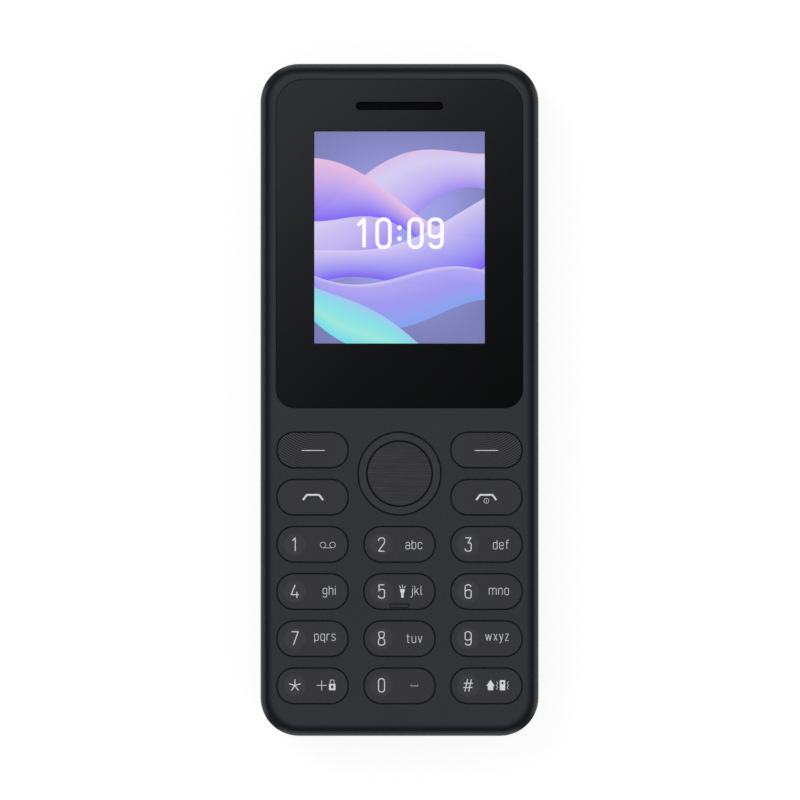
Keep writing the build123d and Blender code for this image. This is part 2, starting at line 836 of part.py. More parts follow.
# Chassis: battery bay below, a closed deck above, wells for the screws
back_corner = rear_edge_radius - cover_wall
with BuildPart() as rear_housing:
    add(
        slab(
            chassis_depth, chassis_back - chassis_depth, chassis_width, chassis_height,
            chassis_corner, (0, middle_rise),
        )
    )
    fillet(rear_housing.faces().sort_by(Axis.Z)[0].edges(), back_corner)
    # The hollow behind the board, around the bay and the screw wells
    with BuildSketch(level(chassis_depth)):
        with Locations((0, middle_rise)):
            RectangleRounded(
                chassis_width - 2 * chassis_wall,
                chassis_height - 2 * chassis_wall,
                chassis_corner - chassis_wall,
            )
        with Locations((0, bay_rise)):
            Rectangle(
                bay_width + 2 * chassis_wall, bay_height + 2 * chassis_wall, mode=Mode.SUBTRACT
            )
        with Locations(*screw_points):
            Circle(well_radius + chassis_wall, mode=Mode.SUBTRACT)
    extrude(amount=-(deck_depth - chassis_depth), mode=Mode.SUBTRACT)
    # The battery bay, and the windows in its floor over the card readers
    add(
        slab(
            bay_floor_depth, chassis_back - bay_floor_depth, bay_width, bay_height,
            bay_corner, (0, bay_rise),
        ),
        mode=Mode.SUBTRACT,
    )
    with BuildSketch(level(chassis_depth)):
        with Locations(*sim_places, memory_place):
            Rectangle(
                card_reader_width - 2 * card_window_margin,
                card_reader_height - 2 * card_window_margin,
            )
    extrude(amount=-chassis_floor, mode=Mode.SUBTRACT)
    # Screw wells, bored from the back, with a hole in each floor
    with BuildSketch(level(bay_floor_depth)):
        with Locations(*screw_points):
            Circle(well_radius)
    extrude(amount=-(chassis_back - bay_floor_depth), mode=Mode.SUBTRACT)
    with BuildSketch(level(chassis_depth)):
        with Locations(*screw_points):
            Circle(screw_shank_radius + screw_gap)
    extrude(amount=-chassis_floor, mode=Mode.SUBTRACT)
    # Openings in the deck for the camera, the torch and the loudspeaker
    with BuildSketch(level(deck_depth)):
        with Locations((camera_x, camera_rise)):
            Circle(barrel_radius + barrel_gap)
        with Locations((camera_x, torch_rise)):
            Circle(torch_radius + barrel_gap)
        with Locations((speaker_x, speaker_rise)):
            Rectangle(
                speaker_width - 2 * (speaker_corner + mesh_margin),
                speaker_height - 2 * (speaker_corner + mesh_margin),
            )
    extrude(amount=-deck_wall, mode=Mode.SUBTRACT)
    # Notch in the end of the bay for the contact block
    with BuildSketch(level(chassis_depth)):
        with Locations((0, bay_top_rise)):
            Rectangle(
                contact_block_width + 2 * fit_gap,
                contact_block_length + 2 * fit_gap,
                align=(Align.CENTER, Align.MIN),
            )
    extrude(amount=-(deck_depth - chassis_depth), mode=Mode.SUBTRACT)
    # Notches in the end walls for the two sockets
    add(
        block(
            chassis_depth, jack_depth + jack_thickness / 2 + fit_gap - chassis_depth,
            jack_width + 2 * fit_gap, 4 * chassis_wall, (jack_x, body_height - side_wall),
        ),
        mode=Mode.SUBTRACT,
    )
    add(
        block(
            chassis_depth, board_back + usb_thickness + fit_gap - chassis_depth,
            usb_width + 2 * fit_gap, 4 * chassis_wall, (0, side_wall),
        ),
        mode=Mode.SUBTRACT,
    )

# Screws: pan heads on the chassis floor, shanks into the front housing's posts
with BuildPart() as housing_screws:
    with BuildSketch(level(bay_floor_depth)):
        with Locations(*screw_points):
            Circle(screw_head_radius)
    extrude(amount=-screw_head_height)
    fillet(housing_screws.faces().group_by(Axis.Z)[0].edges(), screw_head_height / 4)
    with BuildSketch(level(bay_floor_depth)):
        with Locations(*screw_points):
            Circle(screw_shank_radius)
    extrude(amount=screw_length)
    with BuildSketch(level(bay_floor_depth + screw_head_height)):
        with Locations(*screw_points):
            Rectangle(screw_slot_width, 4 / 3 * screw_head_radius)
            Rectangle(4 / 3 * screw_head_radius, screw_slot_width)
    extrude(amount=screw_slot_depth, mode=Mode.SUBTRACT)

# Battery, with its terminals let into the top end
battery_place = (0, bay_rise)
battery_top_rise = bay_rise + battery_height / 2
terminal_xs = [(place - (terminals - 1) / 2) * terminal_pitch for place in range(terminals)]
with BuildPart() as battery:
    add(
        slab(
            battery_depth, battery_thickness, battery_width, battery_height, battery_corner,
            battery_place,
        )
    )
    fillet(battery.faces().sort_by(Axis.Z)[-1].edges(), battery_edge)
    fillet(battery.faces().sort_by(Axis.Z)[0].edges(), battery_edge)
    for terminal_x in terminal_xs:
        add(
            block(
                battery_depth + (battery_thickness - terminal_depth) / 2, terminal_depth,
                terminal_width, 2 * terminal_height, (terminal_x, battery_top_rise),
            ),
            mode=Mode.SUBTRACT,
        )

# Contact block on the board, with a spring blade for each terminal
contact_foot_rise = bay_top_rise + fit_gap
with BuildPart() as battery_contacts:
    add(
        block(
            board_back, contact_block_depth, contact_block_width, contact_block_length,
            (0, contact_foot_rise + contact_block_length / 2),
        )
    )
    for terminal_x in terminal_xs:
        add(
            block(
                contact_depth, contact_height,
                contact_width, contact_foot_rise - battery_top_rise - contact_gap,
                (terminal_x, (contact_foot_rise + battery_top_rise + contact_gap) / 2),
            )
        )

# Camera: a square body against the deck, with its barrel through it
with BuildPart() as camera_module:
    add(
        block(
            deck_depth - camera_body_depth, camera_body_depth, camera_size, camera_size,
            (camera_x, camera_rise),
        )
    )
    with BuildSketch(level(deck_depth)):
        with Locations((camera_x, camera_rise)):
            Circle(barrel_radius)
    extrude(amount=-(cover_inner_depth - eye_gap - deck_depth))
    with BuildSketch(level(cover_inner_depth - eye_gap)):
        with Locations((camera_x, camera_rise)):
            Circle(barrel_radius / 2)
    extrude(amount=deck_wall / 2, taper=-45 / 2, mode=Mode.SUBTRACT)

# Torch: a square base against the deck, with its round emitter through it
with BuildPart() as torch_led:
    add(
        block(
            deck_depth - torch_body_depth, torch_body_depth, torch_size, torch_size,
            (camera_x, torch_rise),
        )
    )
    with BuildSketch(level(deck_depth)):
        with Locations((camera_x, torch_rise)):
            Circle(torch_radius)
    extrude(amount=-(cover_inner_depth - eye_gap - deck_depth))
    fillet(torch_led.faces().sort_by(Axis.Z)[0].edges(), torch_radius / 3)

# Loudspeaker: a box against the deck
with BuildPart() as loudspeaker:
    add(
        slab(
            deck_depth - speaker_depth, speaker_depth, speaker_width, speaker_height,
            speaker_corner, (speaker_x, speaker_rise),
        )
    )

# Loudspeaker mesh, over the deck's opening
with BuildPart() as loudspeaker_mesh:
    add(
        slab(
            chassis_back, mesh_thickness, speaker_width - 2 * speaker_corner,
            speaker_height - 2 * speaker_corner, mesh_margin, (speaker_x, speaker_rise),
        )
    )

# Aerial: a folded copper track on the foot of the chassis
aerial_foot_rise = side_wall + chassis_gap + aerial_margin
aerial_height = bay_foot_rise - aerial_foot_rise - aerial_margin / 2
with BuildPart() as antenna_flex:
    with BuildSketch(level(chassis_back)):
        with Locations((0, aerial_foot_rise + aerial_height / 2)):
            Rectangle(aerial_width, aerial_height)
        with Locations((aerial_track, aerial_foot_rise + aerial_height / 2)):
            Rectangle(aerial_width, aerial_slit, mode=Mode.SUBTRACT)
    extrude(amount=-aerial_thickness)

# Rear cover: a shallow tray with the pane's seat, sound slots and a nail notch
pane_width = 2 * (barrel_radius + pane_margin)
pane_height = torch_spacing + 2 * (barrel_radius + pane_margin)
pane_place = (camera_x, (camera_rise + torch_rise) / 2)
cover_depth = housing_depth + cover_seam
slot_points = [
    (speaker_x + (place - (slots - 1) / 2) * slot_pitch, speaker_rise) for place in range(slots)
]
with BuildPart() as cover_hollow:
    add(
        slab(
            cover_depth, cover_inner_depth - cover_depth, body_width - 2 * cover_wall,
            body_height - 2 * cover_wall, corner_radius - cover_wall, (0, middle_rise),
        )
    )
    fillet(cover_hollow.faces().sort_by(Axis.Z)[0].edges(), rear_edge_radius - cover_wall)
with BuildPart() as rear_cover:
    add(
        slab(
            cover_depth, body_depth - cover_depth, body_width, body_height, corner_radius,
            (0, middle_rise),
        )
    )
    fillet(rear_cover.faces().sort_by(Axis.Z)[0].edges(), rear_edge_radius)
    add(cover_hollow.part, mode=Mode.SUBTRACT)
    with BuildSketch(level(body_depth - pane_thickness)):
        with Locations(pane_place):
            SlotOverall(pane_height, pane_width, rotation=90)
    extrude(amount=-pane_thickness, mode=Mode.SUBTRACT)
    with BuildSketch(level(cover_inner_depth)):
        with Locations(pane_place):
            SlotOverall(pane_height - 2 * pane_ledge, pane_width - 2 * pane_ledge, rotation=90)
        with Locations(*slot_points):
            SlotOverall(slot_height, slot_width, rotation=90)
    extrude(amount=-cover_wall, mode=Mode.SUBTRACT)
    with BuildSketch(across(0)):
        with Locations((0, cover_depth)):
            SlotOverall(notch_width, 2 * notch_depth)
    extrude(amount=cover_wall / 2, mode=Mode.SUBTRACT)

# Pane over the camera and the torch, let into the cover
with BuildPart() as camera_window:
    with BuildSketch(level(body_depth - pane_thickness)):
        with Locations(pane_place):
            SlotOverall(pane_height - 2 * pane_gap, pane_width - 2 * pane_gap, rotation=90)
    extrude(amount=-pane_thickness)

pieces = {
    "front_housing": front_housing,
    "display_lens": display_lens,
    "lens_adhesive": lens_adhesive,
    "earpiece_mesh": earpiece_mesh,
    "earpiece_receiver": earpiece_receiver,
    "display_foam": display_foam,
    "lcd_cell": lcd_cell,
    "backlight_unit": backlight_unit,
    "lcd_flex": lcd_flex,
    "nav_ring": nav_ring,
    "nav_rocker": nav_rocker,
    "nav_centre": nav_centre,
    "keymat": keymat,
    "snap_domes": snap_domes,
    "main_board": main_board,
    "baseband_shield": baseband_shield,
    "radio_shield": radio_shield,
    "sim_readers": sim_readers,
    "memory_card_reader": memory_card_reader,
    "microphone": microphone,
    "vibration_motor": vibration_motor,
    "usb_socket": usb_socket,
    "headphone_socket": headphone_socket,
    "rear_housing": rear_housing,
    "housing_screws": housing_screws,
    "battery": battery,
    "battery_contacts": battery_contacts,
    "camera_module": camera_module,
    "torch_led": torch_led,
    "loudspeaker": loudspeaker,
    "loudspeaker_mesh": loudspeaker_mesh,
    "antenna_flex": antenna_flex,
    "rear_cover": rear_cover,
    "camera_window": camera_window,
}
for name, piece in pieces.items():
    piece.part.label = name
    export_step(piece.part, f"parts/{name}.step")

print(f"body {body_width:.2f} x {body_height:.2f} x {body_depth:.2f}")
print(f"overall depth {overall_depth:.2f}")
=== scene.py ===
"""Surfaces of a candybar phone: moulded and metal finishes, printed key legends, the lit
screen and the small fittings, on a plain pale stage. Lengths are in metres, in the frame of
the phone's solids: the screen faces up, and the top end of the phone lies towards +Y."""

import math

import bmesh
import bpy
from mathutils import Matrix, Vector


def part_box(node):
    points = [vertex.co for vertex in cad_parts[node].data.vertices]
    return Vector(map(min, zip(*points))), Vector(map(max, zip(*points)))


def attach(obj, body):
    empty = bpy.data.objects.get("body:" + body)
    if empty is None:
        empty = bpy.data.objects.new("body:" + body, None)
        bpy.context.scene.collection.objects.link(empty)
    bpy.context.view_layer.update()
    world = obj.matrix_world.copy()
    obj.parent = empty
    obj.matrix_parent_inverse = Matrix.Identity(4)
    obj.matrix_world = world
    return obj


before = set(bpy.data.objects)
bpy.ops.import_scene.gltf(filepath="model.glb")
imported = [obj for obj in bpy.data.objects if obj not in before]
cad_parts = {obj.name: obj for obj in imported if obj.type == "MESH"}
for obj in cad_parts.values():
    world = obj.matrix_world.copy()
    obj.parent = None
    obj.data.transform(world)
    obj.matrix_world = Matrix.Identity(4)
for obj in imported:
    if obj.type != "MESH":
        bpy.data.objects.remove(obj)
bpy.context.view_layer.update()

bl_info = {
    "name": "Candybar Phone Finishes",
    "version": (1, 0, 0),
    "blender": (4, 5, 0),
    "location": "3D View > Sidebar > Phone",
    "description": "Finishes, key legends, screen and stage for a candybar phone",
    "category": "Object",
}

MM = 0.001
MICRON = 0.001 * MM
FOOT_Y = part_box("front_housing")[0].y
KEY_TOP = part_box("key_2")[1].z
NUMBER_KEYS = (
    ("key_star", "key_0", "key_hash"),
    ("key_7", "key_8", "key_9"),
    ("key_4", "key_5", "key_6"),
    ("key_1", "key_2", "key_3"),
)


def middle(node):
    """Centre of a node's box."""
    low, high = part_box(node)
    return (low + high) / 2


# ---------------------------------------------------------------- lettering

# Pen strokes on a drawing grid: (closed, points). The pen cuts the corners between the
# points, and a point that is written twice is a sharp corner. Digits are 6 units wide and
# 13.3 units high, about their middle.
DIGIT_HIGH = 13.3
DIGITS = {
    "0": [(True, [(-3, 0), (-3, 6.65), (3, 6.65), (3, 0), (3, -6.65), (-3, -6.65)])],
    "1": [(False, [(0.4, -6.65), (0.4, 6.65), (0.4, 6.65), (-2.6, 3.7)])],
    "2": [(False, [(-3, 3.4), (-3, 6.65), (3, 6.65), (3, 2.0), (2.2, 0.6), (-3, -6.65),
                   (-3, -6.65), (3.1, -6.65)])],
    "3": [(False, [(-3, 6.65), (2.8, 6.65), (2.8, 6.65), (-0.3, 1.5), (-0.3, 1.5), (3.1, 1.7),
                   (3, -2.4), (3, -6.65), (-3, -6.65), (-3.1, -3.9)])],
    "4": [(False, [(0.3, 6.65), (-3.7, -3.2), (-3.7, -3.2), (3.9, -3.2)]),
          (False, [(2.0, -0.3), (2.0, -6.65)])],
    "5": [(False, [(2.7, 6.65), (-2.4, 6.65), (-2.4, 6.65), (-2.6, 0.2), (-2.6, 0.2),
                   (-2.0, 1.9), (3.1, 2.3), (3, -2.2), (3, -6.65), (-3, -6.65), (-3.1, -3.9)])],
    "6": [(False, [(2.7, 4.5), (2.5, 6.65), (-3, 6.65), (-3, 0), (-3, -6.65), (3, -6.65),
                   (3, -2.5), (3, 1.7), (-2.2, 1.7), (-2.9, -0.6)])],
    "7": [(False, [(-3.2, 6.65), (3.3, 6.65), (3.3, 6.65), (-1.5, -6.65)])],
    "8": [(True, [(-2.6, 6.65), (2.6, 6.65), (2.9, 3.6), (1.8, 0.45), (-1.8, 0.45),
                  (-2.9, 3.6)]),
          (True, [(-2.0, 0.45), (2.0, 0.45), (3.3, -2.6), (3.0, -6.65), (-3.0, -6.65),
                  (-3.3, -2.6)])],
    "9": [(False, [(-2.7, -4.5), (-2.5, -6.65), (3, -6.65), (3, 0), (3, 6.65), (-3, 6.65),
                   (-3, 2.5), (-3, -1.7), (2.2, -1.7), (2.9, 0.6)])],
    "*": [(False, [(0, -0.2), (6.1 * math.sin(turn), -0.2 + 6.1 * math.cos(turn))])
          for turn in [math.radians(72 * arm) for arm in range(5)]],
    "#": [(False, [(x - 1.4, -6.3), (x + 1.4, 6.3)]) for x in (-1.9, 1.9)]
         + [(False, [(-4.6 + lean, y), (4.6 + lean, y)])
            for lean, y in ((0.3, 2.1), (-0.3, -2.1))],
}

# Letters stand on a base line, and the number is the width that the pen covers.
O_HIGH = 6.6
TALL = 8.9
TAIL = -2.3
WIDE = 3.8
ROUND_LEFT = [(WIDE, 4.7), (WIDE, O_HIGH), (0, O_HIGH), (0, 3.3), (0, 0), (WIDE, 0), (WIDE, 1.9)]
ROUND_RIGHT = [(WIDE - x, y) for x, y in ROUND_LEFT]
ARCH = [(0, 4.6), (0, O_HIGH), (WIDE, O_HIGH), (WIDE, 3.6), (WIDE, 0)]
DOT = (7.9, 8.9)
LETTERS = {
    "a": (WIDE, [(False, [(0.2, 5.3), (0.2, O_HIGH), (WIDE, O_HIGH), (WIDE, 3.6), (WIDE, 0)]),
                 (False, [(WIDE, 3.8), (0, 3.9), (0, 1.9), (0, 0), (WIDE, 0), (WIDE, 1.6)])]),
    "b": (WIDE, [(False, [(0, TALL), (0, 0)]), (False, ROUND_RIGHT)]),
    "c": (WIDE, [(False, ROUND_LEFT)]),
    "d": (WIDE, [(False, [(WIDE, TALL), (WIDE, 0)]), (False, ROUND_LEFT)]),
    "e": (WIDE, [(False, [(0, 3.4), (WIDE, 3.4), (WIDE, 3.4), (WIDE, O_HIGH), (0, O_HIGH),
                          (0, 3.3), (0, 0), (WIDE, 0), (WIDE, 1.4)])]),
    "f": (2.9, [(False, [(3.1, TALL), (1.1, TALL + 0.1), (1.1, O_HIGH), (1.1, 0)]),
                (False, [(0, 6.2), (2.9, 6.2)])]),
    "g": (WIDE, [(True, [(0, 3.7), (0, O_HIGH), (WIDE, O_HIGH), (WIDE, 3.7), (WIDE, 0.9),
                         (0, 0.9)]),
                 (False, [(WIDE, O_HIGH), (WIDE, 0.4), (WIDE, TAIL), (0, TAIL), (0, -1.3)])]),
    "h": (WIDE, [(False, [(0, TALL), (0, 0)]), (False, ARCH)]),
    "i": (0.0, [(False, [(0, O_HIGH), (0, 0)]), (False, [(0, DOT[0]), (0, DOT[1])])]),
    "j": (1.5, [(False, [(1.5, O_HIGH), (1.5, 0.2), (1.5, TAIL), (-0.5, TAIL)]),
                (False, [(1.5, DOT[0]), (1.5, DOT[1])])]),
    "k": (WIDE, [(False, [(0, TALL), (0, 0)]), (False, [(3.6, O_HIGH), (0, 2.1)]),
                 (False, [(1.3, 3.7), (3.9, 0)])]),
    "l": (1.0, [(False, [(0, TALL), (0, 1.4), (0, 0), (1.2, 0)])]),
    "m": (7.0, [(False, [(0, O_HIGH), (0, 0)]),
                *[(False, [(x, 4.8), (x, O_HIGH), (x + 3.5, O_HIGH), (x + 3.5, 3.8), (x + 3.5, 0)])
                  for x in (0, 3.5)]]),
    "n": (WIDE, [(False, [(0, O_HIGH), (0, 0)]), (False, ARCH)]),
    "o": (WIDE, [(True, [(0, 3.3), (0, O_HIGH), (WIDE, O_HIGH), (WIDE, 3.3), (WIDE, 0), (0, 0)])]),
    "p": (WIDE, [(False, [(0, O_HIGH), (0, TAIL)]), (False, ROUND_RIGHT)]),
    "q": (WIDE, [(False, [(WIDE, O_HIGH), (WIDE, TAIL)]), (False, ROUND_LEFT)]),
    "r": (2.5, [(False, [(0, O_HIGH), (0, 0)]), (False, [(0, 4.4), (0, O_HIGH), (2.7, O_HIGH)])]),
    "s": (3.5, [(False, [(3.4, 5.4), (3.4, O_HIGH), (0.1, O_HIGH), (0.1, 3.7), (3.6, 2.9),
                         (3.6, 0), (0, 0), (0, 1.3)])]),
    "t": (2.9, [(False, [(1.1, 8.5), (1.1, 1.7), (1.1, 0), (3.0, 0)]),
                (False, [(0, 6.2), (2.9, 6.2)])]),
    "u": (WIDE, [(False, [(0, O_HIGH), (0, 3.0), (0, 0), (WIDE, 0), (WIDE, 2.0)]),
                 (False, [(WIDE, O_HIGH), (WIDE, 0)])]),
    "v": (WIDE, [(False, [(0, O_HIGH), (1.9, 0), (1.9, 0), (3.8, O_HIGH)])]),
    "w": (5.9, [(False, [(0, O_HIGH), (1.5, 0), (1.5, 0), (2.95, 6.2), (2.95, 6.2), (4.4, 0),
                         (4.4, 0), (5.9, O_HIGH)])]),
    "x": (3.3, [(False, [(0, O_HIGH), (3.3, 0)]), (False, [(3.3, O_HIGH), (0, 0)])]),
    "y": (3.5, [(False, [(0, O_HIGH), (1.9, 0.3)]),
                (False, [(3.5, O_HIGH), (1.5, -0.9), (1.1, TAIL), (0, TAIL)])]),
    "z": (3.2, [(False, [(0.1, O_HIGH), (3.1, O_HIGH), (3.1, O_HIGH), (0, 0), (0, 0),
                         (3.3, 0)])]),
}
LETTER_GAP = 2.35
WORDS = {
    "key_2": "abc", "key_3": "def", "key_4": "ghi", "key_5": "jkl",
    "key_6": "mno", "key_7": "pqrs", "key_8": "tuv", "key_9": "wxyz",
}
NUMBERS = {"key_star": "*", "key_hash": "#", **{f"key_{d}": str(d) for d in range(10)}}


def circle(x, y, radius, height=None):
    """Closed round or oval outline on the drawing grid."""
    turns = [math.radians(30 * step) for step in range(12)]
    return [(x + radius * math.cos(turn), y + (height or radius) * math.sin(turn))
            for turn in turns]


def sharp(points):
    """The same outline with sharp corners."""
    return [point for point in points for _ in range(2)]


def rounded(left, foot, right, top, cut):
    """Oblong outline with small round corners."""
    return [point for x, y, first, second in (
        (left, foot, (0, cut), (cut, 0)), (right, foot, (-cut, 0), (0, cut)),
        (right, top, (0, -cut), (-cut, 0)), (left, top, (cut, 0), (0, -cut)))
        for point in ((x + first[0], y + first[1]), (x + first[0], y + first[1]), (x, y),
                      (x + second[0], y + second[1]), (x + second[0], y + second[1]))]


def zigzag(x, side):
    """Short wave beside the shaking handset."""
    return (False, sharp([(x + side * (0.7 if step % 2 else -0.7), 4.0 - 2.0 * step)
                          for step in range(5)]))


# Signs beside the digits: the pen's share of the letters' stroke, pen strokes as above, and
# plates as closed outlines, where a plate inside a plate is a hole. They are drawn about the
# right end of the letters' line.
SIGNS = {
    "key_1": (0.75,
              [(True, circle(-12.3, -0.4, 2.9)), (True, circle(-2.75, -0.4, 2.9)),
               (False, [(-12.3, -3.3), (-2.75, -3.3)])],
              []),
    "key_5": (1.1,
              [(False, [(-20.9, 3.1), (-22.8, 5.7)]), (False, [(-19.5, 3.3), (-19.5, 6.7)]),
               (False, [(-18.1, 3.1), (-16.2, 5.7)])],
              [sharp([(-21.9, 2.4), (-17.1, 2.4), (-17.4, -0.4), (-18.3, -1.8), (-18.3, -6.2),
                      (-20.7, -6.2), (-20.7, -1.8), (-21.6, -0.4)])]),
    "key_star": (1.0,
                 [(False, [(-13.6, -5.1), (-13.6, 5.1)]), (False, [(-18.7, 0), (-8.5, 0)]),
                  (False, [(-5.0, 0.8), (-5.0, 3.4), (-5.0, 5.5), (-1.2, 5.5), (-1.2, 3.4),
                           (-1.2, 0.8)])],
                 [sharp([(-6.3, -4.8), (0.1, -4.8), (0.1, 1.5), (-6.3, 1.5)]),
                  circle(-3.1, -1.5, 1.35, 1.8)]),
    "key_0": (0.65,
              [(False, sharp([(-10.9, 0.9), (-10.9, -0.6), (-4.2, -0.6), (-4.2, 0.9)]))],
              []),
    "key_hash": (0.8,
                 [zigzag(-11.4, 1), zigzag(-0.8, -1)],
                 [sharp([(-18.0, 5.4), (-13.8, -0.6), (-15.3, -0.6), (-15.3, -4.8),
                         (-20.7, -4.8), (-20.7, -0.6), (-22.2, -0.6)]),
                  rounded(-8.8, -4.9, -3.4, 5.2, 0.9), circle(-6.1, 2.3, 1.2)]),
}

# Signs of the keys beside the pad, drawn about the middle of the key.
DASH = [(False, [(-11.4, -0.4), (12.0, -0.4)])]
HOOK = [(False, sharp([(-9.9, -2.8), (-6.1, 2.3), (6.3, 2.3), (10.1, -2.8)]))]
POWER = [(True, circle(0.2, -3.6, 2.5)), (False, [(0.2, -4.8), (0.2, -2.4)])]

# The clock on the screen: where its digits stand, and the two dots between them.
CLOCK = ((-17.184, "1"), (-7.584, "0"), (7.584, "0"), (17.184, "9"))
COLON = [circle(0, y, 1.15) for y in (-2.6, 2.6)]


# ---------------------------------------------------------------- sizes and colours

def length(name, description, metres):
    """Property for a length."""
    return bpy.props.FloatProperty(name=name, description=description, default=metres,
                                   unit="LENGTH", subtype="DISTANCE", precision=5)


def colour(name, description, *rgb):
    """Property for a colour."""
    return bpy.props.FloatVectorProperty(name=name, description=description, default=rgb,
                                         subtype="COLOR", size=3, min=0.0, max=1.0)


def number(name, description, value):
    """Property for a plain number."""
    return bpy.props.FloatProperty(name=name, description=description, default=value,
                                   precision=3)


class PhoneSizes(bpy.types.PropertyGroup):
    """Lengths that a user would change."""

    drawing_unit: length("Drawing unit", "One unit of the lettering grid", 0.1642 * MM)
    digit_stroke: length("Digit stroke", "Width of the pen for digits", 0.172 * MM)
    letter_stroke: length("Letter stroke", "Width of the pen for letters and signs", 0.108 * MM)
    ink_relief: length("Ink relief", "How far the printing stands off a key", 0.012 * MM)
    legend_columns: length("Legend columns", "Pitch of the legends across the keys", 14.19 * MM)
    legend_rows: length("Legend rows", "Pitch of the legends along the keys", 7.69 * MM)
    legend_rise: length("Legend rise", "Foot of the phone to the lowest legends", 8.36 * MM)
    digit_offset: length("Digit offset", "Middle of a column to its digits", -2.947 * MM)
    letters_edge: length("Letters edge", "Middle of a column to the letters' end", 3.73 * MM)
    # Painted sheen: radius of the lighter disc painted behind each digit, in place of the light
    # that a shallow dish there catches.
    halo: length("Halo", "Radius of the soft disc behind a digit", 1.86 * MM)
    hatch_pitch: length("Hatch pitch", "Pitch of the soft keys' hatch", 0.37 * MM)
    hatch_reach: length("Hatch reach", "Outer end of a soft key to its hatch's middle", 7.2 * MM)
    hatch_rise: length("Hatch rise", "Middle of a soft key up to its hatch's middle", 8.2 * MM)
    bar_width: length("Bar width", "Width of the raised bar on the middle key", 3.1 * MM)
    bar_height: length("Bar height", "Height of the raised bar", 0.6 * MM)
    bar_fall: length("Bar fall", "Middle of the key down to its bar", 2.33 * MM)
    clock_height: length("Clock height", "Height of the digits on the screen", 4.6 * MM)
    clock_stroke: length("Clock stroke", "Width of the pen on the screen", 0.62 * MM)
    picture_width: length("Picture width", "Width of the lit picture", 27.94 * MM)
    picture_height: length("Picture height", "Height of the lit picture", 34.75 * MM)
    picture_foot: length("Picture foot", "Foot of the phone to the lit picture", 64.38 * MM)
    grain: length("Grain", "Size of the moulded grain", 0.11 * MM)


class PhoneColours(bpy.types.PropertyGroup):
    """Colours that a user would change."""

    housing: colour("Housing", "Front housing", 0.0081, 0.0091, 0.0120)
    cover: colour("Cover", "Rear cover", 0.0080, 0.0088, 0.0110)
    keys: colour("Keys", "Key caps", 0.0141, 0.0139, 0.0184)
    ring: colour("Ring", "Navigation ring", 0.0148, 0.0156, 0.0200)
    centre: colour("Centre", "Navigation button", 0.0116, 0.0098, 0.0146)
    legend: colour("Legend", "Printing on the keys", 0.64, 0.645, 0.66)
    lens: colour("Lens", "Print behind the window", 0.0008, 0.0009, 0.0010)
    sky: colour("Picture ground", "Ground of the lit picture", 0.21, 0.22, 0.53)
    lilac: colour("Lilac", "Pale waves of the picture", 0.55, 0.45, 0.91)
    pink: colour("Pink", "Warm edges of the picture", 0.84, 0.46, 0.74)
    violet: colour("Violet", "Deep waves of the picture", 0.17, 0.09, 0.93)
    blue: colour("Blue", "Blue waves of the picture", 0.24, 0.25, 0.92)
    cyan: colour("Cyan", "Cyan waves of the picture", 0.16, 0.76, 0.88)
    mint: colour("Mint", "Mint waves of the picture", 0.33, 0.86, 0.75)
    board: colour("Board", "Solder mask", 0.012, 0.075, 0.032)
    floor: colour("Floor", "Floor of the stage", 0.60, 0.60, 0.61)


class PhoneStage(bpy.types.PropertyGroup):
    """Light and camera that a user would change."""

    rounding: length("Rounding", "Radius of the phone's corners", 6.3 * MM)
    camera_height: length("Camera height", "Camera above the floor", 1.47)
    camera_lens: number("Camera lens", "Focal length in millimetres", 400.0)
    sky_level: number("Sky level", "Soft light from all round", 0.62)
    key_power: number("Key power", "Large soft lamp, in watts", 6.2)
    fill_power: number("Fill power", "Smaller soft lamp, in watts", 2.6)


# Painted light: how much lighter than their key the painted sheen disc behind a digit and the
# painted highlights on the ribs of the middle key are.
PAINTED_DISC_SHEEN = 0.0105
PAINTED_RIB_HIGHLIGHT = 0.014

# Where the picture's bright middle and its clock are, as a share of its height.
PICTURE_MIDDLE = 0.52

# Colours of the small parts and of those inside.
BLACK = (0.0, 0.0, 0.0)
WHITE = (1.0, 1.0, 1.0)
CHASSIS = (0.012, 0.0125, 0.014)
ROCKER = (0.02, 0.02, 0.022)
RECEIVER = (0.02, 0.02, 0.021)
DARK_PLASTIC = (0.014, 0.014, 0.015)
BARREL = (0.008, 0.008, 0.009)
PANE = (0.006, 0.006, 0.007)
SCREEN_OFF = (0.004, 0.004, 0.005)
CLOTH = (0.004, 0.004, 0.0045)
FOAM, FOAM_PORE = (0.028, 0.028, 0.028), (0.006, 0.006, 0.006)
REFLECTOR, REFLECTOR_DOT = (0.78, 0.78, 0.77), (0.62, 0.66, 0.70)
FILM, FILM_COPPER = (0.23, 0.10, 0.022), (0.52, 0.25, 0.09)
STEEL = (0.60, 0.60, 0.61)
TIN = (0.58, 0.58, 0.57)
DOME_STEEL = (0.66, 0.66, 0.67)
BLACK_ZINC = (0.10, 0.10, 0.105)
ANODISED = (0.10, 0.10, 0.11)
GOLD = (0.83, 0.60, 0.25)
GOLD_CAN = (0.72, 0.53, 0.24)
BARE_PAD = (0.70, 0.50, 0.20)
TONGUE = (0.01, 0.01, 0.011)
SILICONE = (0.30, 0.30, 0.31)
BATTERY_FILM, BATTERY_CAP = (0.46, 0.47, 0.49), (0.012, 0.012, 0.013)
LABEL, LABEL_BAND, LABEL_RULE = (0.70, 0.71, 0.72), (0.05, 0.10, 0.22), (0.10, 0.36, 0.52)
IRIS, GLASS_MIDDLE, GLASS_EDGE = (0.001,) * 3, (0.010, 0.006, 0.020), (0.012, 0.022, 0.045)
TORCH_CASE, TORCH_DOME, PHOSPHOR = (0.74, 0.74, 0.72), (0.78, 0.78, 0.74), (0.85, 0.62, 0.06)


# ---------------------------------------------------------------- node recipes

